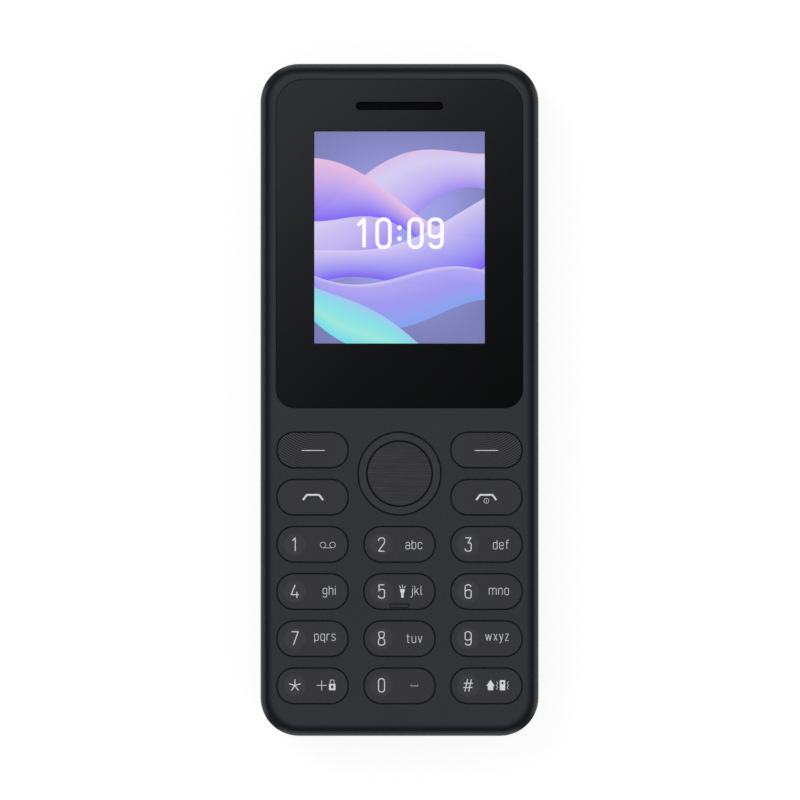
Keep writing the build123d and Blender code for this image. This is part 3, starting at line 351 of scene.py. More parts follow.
class Value:
    """A value in a node tree. Sums on it add the nodes that work them out."""

    def __init__(self, recipe, socket):
        self.recipe = recipe
        self.socket = socket

    def __add__(self, other):
        return self.recipe.maths("ADD", self, other)

    def __sub__(self, other):
        return self.recipe.maths("SUBTRACT", self, other)

    def __rsub__(self, other):
        return self.recipe.maths("SUBTRACT", other, self)

    def __mul__(self, other):
        return self.recipe.maths("MULTIPLY", self, other)

    def __truediv__(self, other):
        return self.recipe.maths("DIVIDE", self, other)

    def __rtruediv__(self, other):
        return self.recipe.maths("DIVIDE", other, self)

    def __abs__(self):
        return self.recipe.maths("ABSOLUTE", self)


class Recipe:
    """Short ways to lay out a node tree."""

    def __init__(self, tree):
        self.tree = tree

    def add(self, kind, inputs=None, **settings):
        """Adds a node, with its settings and what feeds its inputs."""
        node = self.tree.nodes.new("ShaderNode" + kind)
        for name, value in settings.items():
            setattr(node, name, value)
        for key, value in (inputs or {}).items():
            self.feed(node.inputs[key], value)
        return node

    def value(self, kind, inputs=None, output=0, **settings):
        """Adds a node, and gives one of its outputs."""
        return Value(self, self.add(kind, inputs, **settings).outputs[output])

    def feed(self, socket, value):
        """Joins a socket to a value of the tree, or sets it to a plain one."""
        if isinstance(value, Value):
            self.tree.links.new(value.socket, socket)
        elif socket.type == "RGBA":
            socket.default_value = (*value[:3], 1.0)
        else:
            socket.default_value = value

    def maths(self, operation, first, second=0.0):
        """One sum on values."""
        return self.value("Math", {0: first, 1: second}, operation=operation)

    def sine(self, value):
        """Sine of a value."""
        return self.maths("SINE", value)

    def larger(self, first, second):
        """The larger of two values."""
        return self.maths("MAXIMUM", first, second)

    def smaller(self, first, second):
        """The smaller of two values."""
        return self.maths("MINIMUM", first, second)

    def span(self, x, y):
        """Distance of a flat place from zero."""
        return self.maths("SQRT", x * x + y * y)

    def step(self, value, low, high):
        """Smooth step: 0 up to low, 1 from high on."""
        return self.value("MapRange", {"Value": value, "From Min": low, "From Max": high},
                          interpolation_type="SMOOTHSTEP")

    def spread(self, value, low, high):
        """Spreads 0 to 1 over low to high."""
        return self.value("MapRange", {"Value": value, "To Min": low, "To Max": high})

    def mix(self, amount, first, second):
        """Mixes two colours."""
        return self.value("Mix", {0: amount, 6: first, 7: second}, 2, data_type="RGBA")

    def toned(self, amount, rgb, swing):
        """A colour that varies a little either way with a value from 0 to 1."""
        return self.mix(amount, [c * (1 - swing) for c in rgb], [c * (1 + swing) for c in rgb])

    def ramp(self, value, stops):
        """Colours along 0 to 1, from pairs of a place and a colour."""
        node = self.add("ValToRGB", {0: value})
        elements = node.color_ramp.elements
        while len(elements) < len(stops):
            elements.new(0.5)
        for element, (at, rgb) in zip(elements, stops):
            element.position = at
            element.color = (*rgb, 1.0)
        return Value(self, node.outputs[0])

    def scaled(self, vector, scale):
        """A vector times another."""
        return self.value("VectorMath", {0: vector, 1: scale}, operation="MULTIPLY")

    def split(self, vector):
        """The three parts of a vector."""
        return [Value(self, part) for part in self.add("SeparateXYZ", {0: vector}).outputs]

    def where(self, centre=(0, 0, 0), turn=(0, 0, 0), stretch=(1, 1, 1)):
        """Place on the object, from a centre, turned and stretched."""
        moved = self.value("Mapping", {0: self.value("TexCoord", output="Object"),
                                       "Location": tuple(-c for c in centre)})
        if turn == (0, 0, 0) and stretch == (1, 1, 1):
            return moved
        return self.value("Mapping", {0: moved, "Rotation": turn, "Scale": stretch})

    def noise(self, place, scale, detail=2.0, rough=0.5):
        """Even noise from 0 to 1."""
        return self.value("TexNoise", {"Vector": place, "Scale": scale, "Detail": detail,
                                       "Roughness": rough})

    def cells(self, place, scale, randomness=1.0):
        """Distance from the nearest of many scattered points."""
        return self.value("TexVoronoi", {"Vector": place, "Scale": scale,
                                         "Randomness": randomness}, "Distance")

    def effect(self, name, place, **inputs):
        """Places a shared effect, and gives its outputs by name."""
        node = self.add("Group", node_tree=bpy.data.node_groups[name])
        self.feed(node.inputs["Place"], place)
        for key, value in inputs.items():
            self.feed(node.inputs[key.replace("_", " ")], value)
        return {output.name: Value(self, output) for output in node.outputs}


class Finish(Recipe):
    """A material, and the recipe that feeds its shader."""

    def __init__(self, name, **inputs):
        self.material = bpy.data.materials.new(name)
        self.material.use_nodes = True
        super().__init__(self.material.node_tree)
        self.tree.nodes.clear()
        self.shader = self.add("BsdfPrincipled")
        self.add("OutputMaterial", {"Surface": Value(self, self.shader.outputs[0])})
        for key, value in inputs.items():
            self.set(key.replace("_", " "), value)

    def set(self, name, value):
        """Feeds one input of the shader."""
        self.feed(self.shader.inputs[name], value)

    def fed(self, name):
        """What feeds an input of the shader."""
        return Value(self, self.shader.inputs[name].links[0].from_socket)

    def skin(self, rgb, gloss, low, high):
        """Sets the base colour, and spreads a value from 0 to 1 over the roughness."""
        self.set("Base Color", rgb)
        self.set("Roughness", self.spread(gloss, low, high))

    def paint(self, amount, rgb):
        """Lays a colour over the base colour."""
        self.set("Base Color", self.mix(amount, self.fed("Base Color"), rgb))

    def emboss(self, height, depth, strength=1.0):
        """Adds relief to what relief there is."""
        inputs = {"Strength": strength, "Distance": depth, "Height": height}
        if self.shader.inputs["Normal"].is_linked:
            inputs["Normal"] = self.fed("Normal")
        self.set("Normal", self.value("Bump", inputs))


def grained(name, rgb, roughness, grain, depth, swing=0.12, **inputs):
    """Moulded plastic with a fine grain."""
    finish = Finish(name, **inputs)
    pattern = finish.effect("moulded grain", finish.where(), Grain_Size=grain)
    finish.skin(finish.toned(pattern["Tone"], rgb, swing), pattern["Gloss"], roughness - 0.05,
                roughness + 0.05)
    finish.emboss(pattern["Height"], depth)
    return finish


def satin(name, rgb, sizes):
    """Moulded plastic of the keys and the ring."""
    return grained(name, rgb, roughness=0.33, grain=sizes.grain, depth=4 * MICRON)


def metal(name, rgb, roughness, turn=0.0, line=0.08 * MM, depth=4 * MICRON):
    """Rolled or brushed metal."""
    finish = Finish(name, Metallic=1.0)
    pattern = finish.effect("brushing", finish.where(turn=(0, 0, turn)), Line_Size=line)
    finish.skin(finish.toned(pattern["Gloss"], rgb, 0.12), pattern["Gloss"], roughness - 0.08,
                roughness + 0.08)
    finish.emboss(pattern["Height"], depth)
    return finish


def dress(finish, *nodes):
    """Gives CAD nodes this finish."""
    for name in nodes:
        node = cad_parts[name]
        if not node.material_slots:
            node.data.materials.append(finish.material)
        for slot in node.material_slots:
            slot.material = finish.material


# ---------------------------------------------------------------- shared effects

def shared_effect(name, inputs, outputs, lay_out):
    """Makes a node group: lay_out takes its recipe and inputs, and gives its outputs."""
    tree = bpy.data.node_groups.new(name, "ShaderNodeTree")
    tree.interface.new_socket("Place", in_out="INPUT", socket_type="NodeSocketVector")
    for label, value in inputs.items():
        tree.interface.new_socket(label, in_out="INPUT",
                                  socket_type="NodeSocketFloat").default_value = value
    for label in outputs:
        tree.interface.new_socket(label, in_out="OUTPUT", socket_type="NodeSocketFloat")
    recipe = Recipe(tree)
    entry = [Value(recipe, socket) for socket in tree.nodes.new("NodeGroupInput").outputs]
    leave = tree.nodes.new("NodeGroupOutput").inputs
    for label, made in zip(outputs, lay_out(recipe, *entry[:1 + len(inputs)])):
        recipe.feed(leave[label], made)


def lay_grain(recipe, place, grain_size, drift_size):
    """Fine moulded grain, with a slow drift of tone and gloss over it."""
    fine = recipe.noise(place, 1.0 / grain_size, 3.0, 0.6)
    slow = recipe.noise(place, 1.0 / drift_size, 2.0)
    return fine, fine * 0.5 + slow * 0.5, slow * 0.7 + fine * 0.3


def lay_brushing(recipe, place, line_size):
    """Long fine scratches along X, as a rolled or brushed sheet has."""
    lines = recipe.noise(recipe.scaled(place, (0.03, 1.0, 1.0)), 1.0 / line_size, 3.0, 0.7)
    smear = recipe.noise(place, 260.0, 2.0)
    return lines, smear * 0.5 + lines * 0.5


def lay_weave(recipe, place, pitch):
    """Plain weave: the height of the threads, and the holes between them."""
    x, y, _ = recipe.split(place)
    turn = 2 * math.pi / pitch
    over, under = recipe.sine(x * turn), recipe.sine(y * turn)
    threads = recipe.larger(abs(over), abs(under))
    return over * under * 0.35 + threads, recipe.step(threads, 0.35, 0.6)


def lay_ribs(recipe, place, pitch):
    """Even ribs across Y: their height from 0 to 1."""
    _, y, _ = recipe.split(place)
    return (recipe.sine(y * (2 * math.pi / pitch)) * 0.5 + 0.5,)


def lay_tracks(recipe, place, pitch):
    """Copper tracks that run along Y with jogs, and a scatter of round pads with holes."""
    x, y, _ = recipe.split(place)
    jog = recipe.maths("PINGPONG", y, pitch * 6.0) * 0.5
    lane = recipe.maths("PINGPONG", x + jog, pitch * 0.5)
    track = recipe.step(lane / pitch, 0.30, 0.24)
    patch = recipe.step(recipe.noise(place, 0.05 / pitch, 0.0), 0.42, 0.5)
    dots = recipe.cells(place, 0.28 / pitch, 0.85)
    pad = recipe.step(dots, 0.17, 0.14)
    return recipe.larger(track * patch, pad), recipe.step(dots, 0.07, 0.06)


def lay_oblong(recipe, place, half_width, half_height, corner):
    """Distance outside a rounded oblong about the middle of its place."""
    x, y, _ = recipe.split(place)
    out_x = abs(x) - (half_width - corner)
    out_y = abs(y) - (half_height - corner)
    far = recipe.span(recipe.larger(out_x, 0.0), recipe.larger(out_y, 0.0))
    inside = recipe.smaller(recipe.larger(out_x, out_y), 0.0)
    return (far + inside - corner,)


def lay_wave(recipe, place, height, slope, swing, bends, start, half_width):
    """One silky band of the picture: its mask, and 0 to 1 from its lower to its upper edge."""
    x, y, _ = recipe.split(place)
    phase = x * bends + start
    line = swing * recipe.sine(phase) + (x * slope + height)
    half = half_width * (recipe.sine(phase + 2.0) * 0.45 + 1.0)
    across = (y - line) / half
    return recipe.step(abs(across), 1.0, 0.965), across * 0.5 + 0.5


def make_shared_effects():
    """Builds the node groups that several materials use."""
    shared_effect("moulded grain", {"Grain Size": 0.1 * MM, "Drift Size": 6 * MM},
                  ("Height", "Tone", "Gloss"), lay_grain)
    shared_effect("brushing", {"Line Size": 0.08 * MM}, ("Height", "Gloss"), lay_brushing)
    shared_effect("weave", {"Pitch": 0.3 * MM}, ("Height", "Thread"), lay_weave)
    shared_effect("ribs", {"Pitch": 0.48 * MM}, ("Height",), lay_ribs)
    shared_effect("copper tracks", {"Pitch": 0.5 * MM}, ("Copper", "Hole"), lay_tracks)
    shared_effect("oblong", {"Half Width": 10 * MM, "Half Height": 10 * MM, "Corner": MM},
                  ("Distance",), lay_oblong)
    shared_effect("picture wave", {"Height": 0.5, "Slope": 0.0, "Swing": 0.05, "Bends": 6.0,
                                   "Start": 0.0, "Half Width": 0.1}, ("Mask", "Across"), lay_wave)


# ---------------------------------------------------------------- modelling helpers

def settings():
    """The sizes, colours and stage of the scene."""
    scene = bpy.context.scene
    return scene.phone_sizes, scene.phone_colours, scene.phone_stage


def grid_points(points, unit, place):
    """Grid points as lengths, about a place."""
    return [(x * unit + place[0], y * unit + place[1]) for x, y in points]


def grid_strokes(strokes, unit, place):
    """Pen strokes as lengths, about a place."""
    return [(closed, grid_points(points, unit, place)) for closed, points in strokes]


def add_spline(curve, closed, points, lift=0.0):
    """Adds a smooth line to a curve, which is sharp where a point is written twice."""
    spline = curve.splines.new("NURBS")
    spline.points.add(len(points) - 1)
    for point, (x, y) in zip(spline.points, points):
        point.co = (x, y, lift, 1)
    spline.order_u = min(3, len(points))
    spline.use_cyclic_u = closed
    spline.use_endpoint_u = not closed
    spline.resolution_u = 6


def add_curve(shape, curve, place):
    """Makes a curve a mesh, puts it in place and adds it to a bmesh."""
    holder = bpy.data.objects.new(curve.name, curve)
    mesh = bpy.data.meshes.new_from_object(holder)
    mesh.transform(place)
    shape.from_mesh(mesh)
    bpy.data.objects.remove(holder)
    bpy.data.curves.remove(curve)
    bpy.data.meshes.remove(mesh)


def pen_strokes(shape, strokes, width, relief, height):
    """Adds pen strokes to a bmesh, flattened so that they stand relief proud of a height.
    Each lies a little over the one before, so that no two faces fall together."""
    curve = bpy.data.curves.new("strokes", "CURVE")
    curve.dimensions = "3D"
    curve.twist_mode = "Z_UP"
    curve.bevel_depth = width / 2
    curve.bevel_resolution = 1
    curve.use_fill_caps = True
    for index, (closed, points) in enumerate(strokes):
        add_spline(curve, closed, points, index * width / 60)
    add_curve(shape, curve, Matrix.Translation((0, 0, height))
              @ Matrix.Diagonal((1, 1, 2 * relief / width, 1)))


def cut_plates(shape, outlines, relief, height):
    """Adds flat filled shapes to a bmesh, relief proud of a height and as deep below it."""
    curve = bpy.data.curves.new("plates", "CURVE")
    curve.dimensions = "2D"
    curve.fill_mode = "BOTH"
    curve.extrude = relief
    for points in outlines:
        add_spline(curve, True, points)
    add_curve(shape, curve, Matrix.Translation((0, 0, height)))


def print_strokes(shape, strokes, place, pen, sizes):
    """Prints pen strokes on the keys, about a place."""
    pen_strokes(shape, grid_strokes(strokes, sizes.drawing_unit, place), pen, sizes.ink_relief,
                KEY_TOP)


def spun(shape, profile, centre, axis):
    """Spins a closed profile of points right round an axis."""
    points = [shape.verts.new(point) for point in profile]
    edges = [shape.edges.new((a, b)) for a, b in zip(points, points[1:] + points[:1])]
    bmesh.ops.spin(shape, geom=points + edges, cent=centre, axis=axis, dvec=(0, 0, 0),
                   angle=2 * math.pi, steps=64, use_merge=True, use_duplicate=False)


def bevelled_block(shape, centre, size, edge, segments=2):
    """Adds a block about a place, with its size and its rounding in millimetres."""
    made = bmesh.ops.create_cube(shape, size=1.0, matrix=Matrix.Translation(centre)
                                 @ Matrix.Diagonal((*[side * MM for side in size], 1)))
    edges = {e for v in made["verts"] for e in v.link_edges}
    bmesh.ops.bevel(shape, geom=list(edges), offset=edge * MM, offset_type="OFFSET",
                    affect="EDGES", segments=segments, profile=0.5, material=-1,
                    clamp_overlap=True)


def finished(name, shape, material, body, smooth=False):
    """Makes a bmesh a piece that rides on a body."""
    bmesh.ops.remove_doubles(shape, verts=shape.verts, dist=1e-8)
    bmesh.ops.recalc_face_normals(shape, faces=shape.faces)
    mesh = bpy.data.meshes.new(name)
    shape.to_mesh(mesh)
    shape.free()
    mesh.materials.append(bpy.data.materials[material])
    if smooth:
        mesh.shade_smooth()
    piece = bpy.data.objects.new(name, mesh)
    bpy.context.scene.collection.objects.link(piece)
    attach(piece, body)


# ---------------------------------------------------------------- operators: finishes

class PHONE_OT_finish_shell(bpy.types.Operator):
    """Give the housing, the rear cover and the chassis their moulded finishes"""

    bl_idname = "phone.finish_shell"
    bl_label = "Finish Shell"

    def execute(self, context):
        sizes, colours, _ = settings()
        dress(grained("satin_housing", colours.housing, roughness=0.27, grain=sizes.grain,
                      depth=4 * MICRON), "front_housing")
        dress(grained("satin_cover", colours.cover, roughness=0.34, grain=sizes.grain * 1.3,
                      depth=5 * MICRON), "rear_cover")
        dress(grained("moulded_chassis", CHASSIS, roughness=0.55, grain=sizes.grain * 2.5,
                      depth=20 * MICRON), "rear_housing")
        return {"FINISHED"}


class PHONE_OT_finish_keys(bpy.types.Operator):
    """Give the keys and the navigation pad their finishes"""

    bl_idname = "phone.finish_keys"
    bl_label = "Finish Keys"

    def execute(self, context):
        sizes, colours, _ = settings()
        self.number_keys(sizes, colours)
        self.soft_keys(sizes, colours)
        dress(satin("call_key", colours.keys, sizes), "key_call", "key_end")
        dress(satin("ring_finish", colours.ring, sizes), "nav_ring")
        dress(grained("rocker_plastic", ROCKER, roughness=0.5, grain=sizes.grain * 2,
                      depth=10 * MICRON), "nav_rocker")
        self.centre_button(sizes, colours)
        return {"FINISHED"}

    def number_keys(self, sizes, colours):
        """Satin caps with a painted sheen as a lighter disc behind each digit, and a painted
        shadow as a dark line round the bar.
        """
        finish = satin("number_key", colours.keys, sizes)
        x, y, _ = finish.split(finish.where((sizes.digit_offset, FOOT_Y + sizes.legend_rise, 0)))
        from_digit = []
        for value, pitch in ((x, sizes.legend_columns), (y, sizes.legend_rows)):
            turns = value / pitch
            from_digit.append((turns - finish.maths("ROUND", turns)) * pitch)
        # Painted sheen: a soft lighter disc behind each digit, where a shallow dish would catch
        # the light.
        halo = finish.step(finish.span(*from_digit), sizes.halo * 1.08, sizes.halo * 0.86)
        finish.paint(halo * 0.9, [c + PAINTED_DISC_SHEEN for c in colours.keys])
        at = middle("key_5")
        bar = finish.effect("oblong", finish.where((at.x, at.y - sizes.bar_fall, 0)),
                            Half_Width=sizes.bar_width / 2, Half_Height=sizes.bar_height / 2,
                            Corner=0.1 * MM)["Distance"]
        # Painted shadow: a dark line round the raised bar, where its edges would be in shade.
        finish.paint(finish.step(abs(bar), 0.17 * MM, 0.10 * MM) * 0.95, BLACK)
        dress(finish, *[key for row in NUMBER_KEYS for key in row])

    def soft_keys(self, sizes, colours):
        """Satin caps with a fine curved hatch of ribs that fades towards the middle of the phone:
        painted shade in the grooves and painted highlights on the ribs.
        """
        finish = satin("soft_key", colours.keys, sizes)
        low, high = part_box("key_soft_right")
        wide = high.x - low.x
        x, y, _ = finish.split(finish.where())
        far = finish.span(abs(x) - (high.x - sizes.hatch_reach),
                          y - ((low.y + high.y) / 2 + sizes.hatch_rise))
        rings = finish.value("CombineXYZ", {1: far})
        ribs = finish.effect("ribs", rings, Pitch=sizes.hatch_pitch)["Height"]
        fade = finish.step(abs(x), low.x + 0.15 * wide, low.x + 0.85 * wide)
        shading = fade * (finish.step(y, low.y - 2 * MM, high.y) * 0.6 + 0.4)
        hatch = ribs * shading
        # Painted shade and highlight: the hatch's grooves are painted black and its ribs lighter,
        # as light would fall on ribs.
        finish.paint(shading, BLACK)
        finish.paint(hatch, [c * 2.9 + 0.007 for c in colours.keys])
        finish.set("Roughness", (shading - hatch) * 0.45 + finish.fed("Roughness"))
        finish.emboss(hatch, 5 * MICRON)
        dress(finish, "key_soft_left", "key_soft_right")

    def centre_button(self, sizes, colours):
        """Satin button with fine level ribs, which carry painted highlights in places."""
        finish = grained("centre_button", colours.centre, roughness=0.34, grain=sizes.grain,
                         depth=3 * MICRON)
        ribs = finish.effect("ribs", finish.where((0, middle("nav_centre").y, 0)))["Height"]
        streaks = finish.effect("brushing", finish.where(stretch=(3.0, 1.0, 1.0)),
                                Line_Size=0.45 * MM)["Height"]
        # Painted highlight: the ribs are painted lighter where the streaks fall.
        finish.paint(ribs * finish.step(streaks, 0.36, 0.62),
                     [c + PAINTED_RIB_HIGHLIGHT for c in colours.centre])
        finish.emboss(ribs, 8 * MICRON)
        dress(finish, "nav_centre")


class PHONE_OT_finish_screen(bpy.types.Operator):
    """Give the window, the lit picture and what holds them their finishes"""

    bl_idname = "phone.finish_screen"
    bl_label = "Finish Screen"

    def execute(self, context):
        sizes, colours, _ = settings()
        self.window(sizes, colours)
        self.picture(sizes, colours)
        self.woven("earpiece_cloth", 0.22 * MM, "earpiece_mesh")
        self.woven("speaker_cloth", 0.30 * MM, "loudspeaker_mesh")
        self.tape()
        self.backlight(sizes)
        self.ribbons()
        dress(grained("receiver_shell", RECEIVER, roughness=0.45, grain=0.2 * MM,
                      depth=10 * MICRON), "earpiece_receiver", "loudspeaker")
        return {"FINISHED"}

    def off_picture(self, finish, sizes, margin):
        """Distance outside the lit picture with a margin."""
        centre_y = FOOT_Y + sizes.picture_foot + sizes.picture_height / 2
        return finish.effect("oblong", finish.where((0, centre_y, 0)),
                             Half_Width=sizes.picture_width / 2 + margin,
                             Half_Height=sizes.picture_height / 2 + margin,
                             Corner=0.1 * MM)["Distance"]

    def window(self, sizes, colours):
        """Gloss window, printed black behind except over the picture."""
        finish = Finish("window_gloss")
        grain = finish.effect("moulded grain", finish.where(), Grain_Size=0.4 * MM,
                              Drift_Size=12 * MM)
        printed = finish.step(self.off_picture(finish, sizes, 0.10 * MM), -0.04 * MM, 0.04 * MM)
        finish.skin(finish.toned(grain["Tone"], colours.lens, 0.15), grain["Gloss"], 0.05, 0.075)
        finish.set("Alpha", finish.spread(printed, 0.03, 1.0))
        dress(finish, "display_lens")

    def picture(self, sizes, colours):
        """Lit picture of silky waves, in a black frame."""
        finish = Finish("lit_picture", Roughness=0.25, Emission_Strength=1.0)
        unit = finish.scaled(finish.where((0, FOOT_Y + sizes.picture_foot, 0)),
                             (1 / sizes.picture_height,) * 3)
        x, y, _ = finish.split(unit)
        haze = finish.noise(unit, 1.6, 1.0)
        glow = (finish.step(abs(x), 0.52, 0.05)
                * finish.step(abs(y - PICTURE_MIDDLE), 0.56, 0.10))
        shown = finish.mix(haze * 0.25 + glow * 0.85, [c * 0.78 for c in colours.sky],
                           [c * 1.55 + 0.02 for c in colours.sky])
        for values, tints in picture_waves(colours):
            wave = finish.effect("picture wave", unit, **values)
            shown = finish.mix(wave["Mask"] * 0.94, shown, finish.ramp(wave["Across"], tints))
        framed = finish.step(self.off_picture(finish, sizes, 0.0), -0.02 * MM, 0.02 * MM)
        finish.set("Base Color", finish.toned(haze, SCREEN_OFF, 0.2))
        finish.set("Emission Color", finish.mix(framed, shown, BLACK))
        dress(finish, "lcd_cell")

    def woven(self, name, pitch, node):
        """Black acoustic cloth."""
        finish = Finish(name, Specular_IOR_Level=0.12)
        weave = finish.effect("weave", finish.where(middle(node), (0, 0, math.radians(45))),
                              Pitch=pitch)
        finish.skin(finish.mix(weave["Thread"], BLACK, CLOTH), weave["Thread"], 0.9, 0.6)
        finish.emboss(weave["Height"], pitch / 6)
        dress(finish, node)

    def tape(self):
        """Black foam and adhesive, with open cells."""
        finish = Finish("foam_tape")
        depth = finish.cells(finish.where(), 7000.0)
        finish.skin(finish.mix(depth, FOAM, FOAM_PORE), depth, 0.75, 0.98)
        finish.emboss(depth, 40 * MICRON, strength=0.8)
        dress(finish, "lens_adhesive", "display_foam")

    def backlight(self, sizes):
        """White moulded frame around a pale reflector with rows of dots."""
        finish = grained("backlight_frame", REFLECTOR, roughness=0.35, grain=0.2 * MM,
                         depth=4 * MICRON, swing=0.03)
        dots = finish.step(finish.cells(finish.where(), 900.0, 0.0), 0.24, 0.18)
        inner = finish.step(self.off_picture(finish, sizes, 0.6 * MM), 0.1 * MM, 0.0)
        finish.paint(dots * inner, REFLECTOR_DOT)
        dress(finish, "backlight_unit")

    def ribbons(self):
        """Amber film over copper tracks."""
        finish = Finish("amber_film", Coat_Weight=0.4)
        copper = finish.effect("copper tracks", finish.where(), Pitch=0.6 * MM)["Copper"]
        finish.skin(finish.mix(copper, FILM, FILM_COPPER), copper, 0.42, 0.28)
        finish.set("Metallic", copper * 0.7)
        finish.emboss(copper, 20 * MICRON)
        dress(finish, "lcd_flex", "antenna_flex")


def picture_waves(colours):
    """The picture's waves from back to front, each with its tints from low to high."""
    lilac, pink, violet, blue, cyan, mint = [
        tuple(tint) for tint in (colours.lilac, colours.pink, colours.violet, colours.blue,
                                 colours.cyan, colours.mint)]

    def blend(first, second, part):
        return tuple(a + part * (b - a) for a, b in zip(first, second))

    pale = blend(lilac, (0.84, 0.84, 0.96), 0.5)
    names = ("Height", "Slope", "Swing", "Bends", "Start", "Half_Width")
    return [(dict(zip(names, values)), tints) for values, tints in (
        ((0.665, 0.34, 0.075, 6.0, 0.6, 0.150),
         [(0.0, blend(violet, lilac, 0.45)), (0.35, lilac), (0.8, pale),
          (1.0, blend(pale, pink, 0.5))]),
        ((0.575, -0.42, 0.055, 6.8, 2.4, 0.105),
         [(0.0, violet), (0.30, blend(violet, lilac, 0.5)), (0.72, blend(lilac, pink, 0.45)),
          (1.0, blend(pink, WHITE, 0.15))]),
        ((0.42, 0.30, 0.06, 5.2, 3.9, 0.115),
         [(0.0, violet), (0.4, blend(blue, lilac, 0.35)), (0.85, blend(lilac, pale, 0.4)),
          (1.0, pale)]),
        ((0.24, -0.10, 0.075, 5.6, 5.6, 0.085),
         [(0.0, blend(blue, cyan, 0.25)), (0.5, blend(blue, lilac, 0.35)),
          (0.9, blend(blue, lilac, 0.7)), (1.0, pale)]),
        ((-0.03, -0.62, 0.035, 7.4, 1.2, 0.075),
         [(0.0, cyan), (0.35, mint), (0.7, blend(mint, cyan, 0.6)),
          (1.0, blend(cyan, lilac, 0.5))]),
    )]


class PHONE_OT_finish_inside(bpy.types.Operator):
    """Give the board, the shields, the sockets and the battery their finishes"""

    bl_idname = "phone.finish_inside"
    bl_label = "Finish Inside"

    def execute(self, context):
        _, colours, _ = settings()
        self.board(colours)
        self.battery()
        self.contact_block()
        self.socket_shell()
        metal("contact_gold", GOLD, 0.22, line=0.05 * MM)
        dress(metal("tin_plate", TIN, 0.38, depth=8 * MICRON),
              "baseband_shield", "radio_shield", "vibration_motor")
        dress(metal("reader_steel", STEEL, 0.30, turn=math.radians(90)),
              "sim_readers", "memory_card_reader")
        dress(metal("dome_steel", DOME_STEEL, 0.22, line=0.04 * MM), "snap_domes")
        dress(metal("black_zinc", BLACK_ZINC, 0.42, line=0.05 * MM), "housing_screws")
        dress(metal("gold_can", GOLD_CAN, 0.28), "microphone")
        dress(grained("socket_plastic", DARK_PLASTIC, roughness=0.38, grain=0.3 * MM,
                      depth=6 * MICRON), "headphone_socket")
        dress(grained("milky_silicone", SILICONE, roughness=0.6, grain=0.3 * MM,
                      depth=10 * MICRON, swing=0.08, Subsurface_Weight=0.2,
                      Subsurface_Scale=1 * MM), "keymat")
        return {"FINISHED"}

    def board(self, colours):
        """Green solder mask over copper, with bare gold pads."""
        finish = Finish("solder_mask", Coat_Weight=0.3)
        tracks = finish.effect("copper tracks", finish.where(), Pitch=0.45 * MM)
        copper, hole = tracks["Copper"], tracks["Hole"]
        masked = finish.mix(copper, colours.board, [c * 2.2 + 0.01 for c in colours.board])
        finish.skin(finish.mix(hole, masked, BARE_PAD), copper, 0.42, 0.32)
        finish.set("Metallic", hole)
        finish.emboss(copper, 30 * MICRON)
        dress(finish, "main_board")

    def battery(self):
        """Silver film shrunk over the can, black at the end that has the contacts."""
        finish = Finish("battery_film", Coat_Weight=0.25)
        low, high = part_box("battery")
        _, y, _ = finish.split(finish.where((0, low.y, 0)))
        cap_y = high.y - low.y - 4.2 * MM
        cap = finish.step(y, cap_y, cap_y + 0.1 * MM)
        brushing = finish.effect("brushing", finish.where(), Line_Size=0.15 * MM)
        film = finish.toned(brushing["Gloss"], BATTERY_FILM, 0.10)
        finish.skin(finish.mix(cap, film, BATTERY_CAP), brushing["Gloss"], 0.30, 0.46)
        finish.set("Metallic", finish.spread(cap, 0.85, 0.0))
        finish.emboss(brushing["Height"], 10 * MICRON)
        dress(finish, "battery")

    def contact_block(self):
        """Black block with gold blades towards the battery."""
        finish = Finish("contact_block")
        half_pitch = 1.25 * MM
        x, y, _ = finish.split(finish.where((0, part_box("battery_contacts")[0].y, 0)))
        lane = finish.maths("PINGPONG", x + half_pitch, half_pitch)
        gold = finish.step(lane, 0.7 * MM, 0.75 * MM) * finish.step(y, 0.36 * MM, 0.3 * MM)
        grain = finish.effect("moulded grain", finish.where(), Grain_Size=0.3 * MM)
        block = finish.toned(grain["Tone"], DARK_PLASTIC, 0.2)
        finish.skin(finish.mix(gold, block, GOLD), grain["Gloss"], 0.35, 0.5)
        finish.set("Metallic", gold)
        dress(finish, "battery_contacts")

    def socket_shell(self):
        """Nickel shell around a black tongue."""
        finish = Finish("socket_shell")
        x, _, z = finish.split(finish.where(middle("usb_socket")))
        off_tongue = finish.effect("oblong", finish.value("CombineXYZ", {0: x, 1: z}),
                                   Half_Width=3.5 * MM, Half_Height=0.6 * MM,
                                   Corner=0.2 * MM)["Distance"]
        tongue = finish.step(off_tongue, 0.12 * MM, 0.06 * MM)
        gloss = finish.effect("brushing", finish.where())["Gloss"]
        steel = finish.toned(gloss, STEEL, 0.12)
        finish.skin(finish.mix(tongue, steel, TONGUE), gloss, 0.24, 0.40)
        finish.set("Metallic", finish.spread(tongue, 1.0, 0.0))
        dress(finish, "usb_socket")


# ---------------------------------------------------------------- operators: printing

def spelled(word):
    """Strokes of a word that ends at zero, with its middle at zero height."""
    strokes, at = [], 0.0
    for letter in word:
        width, drawn = LETTERS[letter]
        strokes += [(closed, [(x + at, y) for x, y in points]) for closed, points in drawn]
        at += width + LETTER_GAP
    if not strokes:
        return []
    end = at - LETTER_GAP
    heights = [y for _, points in strokes for _, y in points]
    level = (min(heights) + max(heights)) / 2
    return [(closed, [(x - end, y - level) for x, y in points]) for closed, points in strokes]


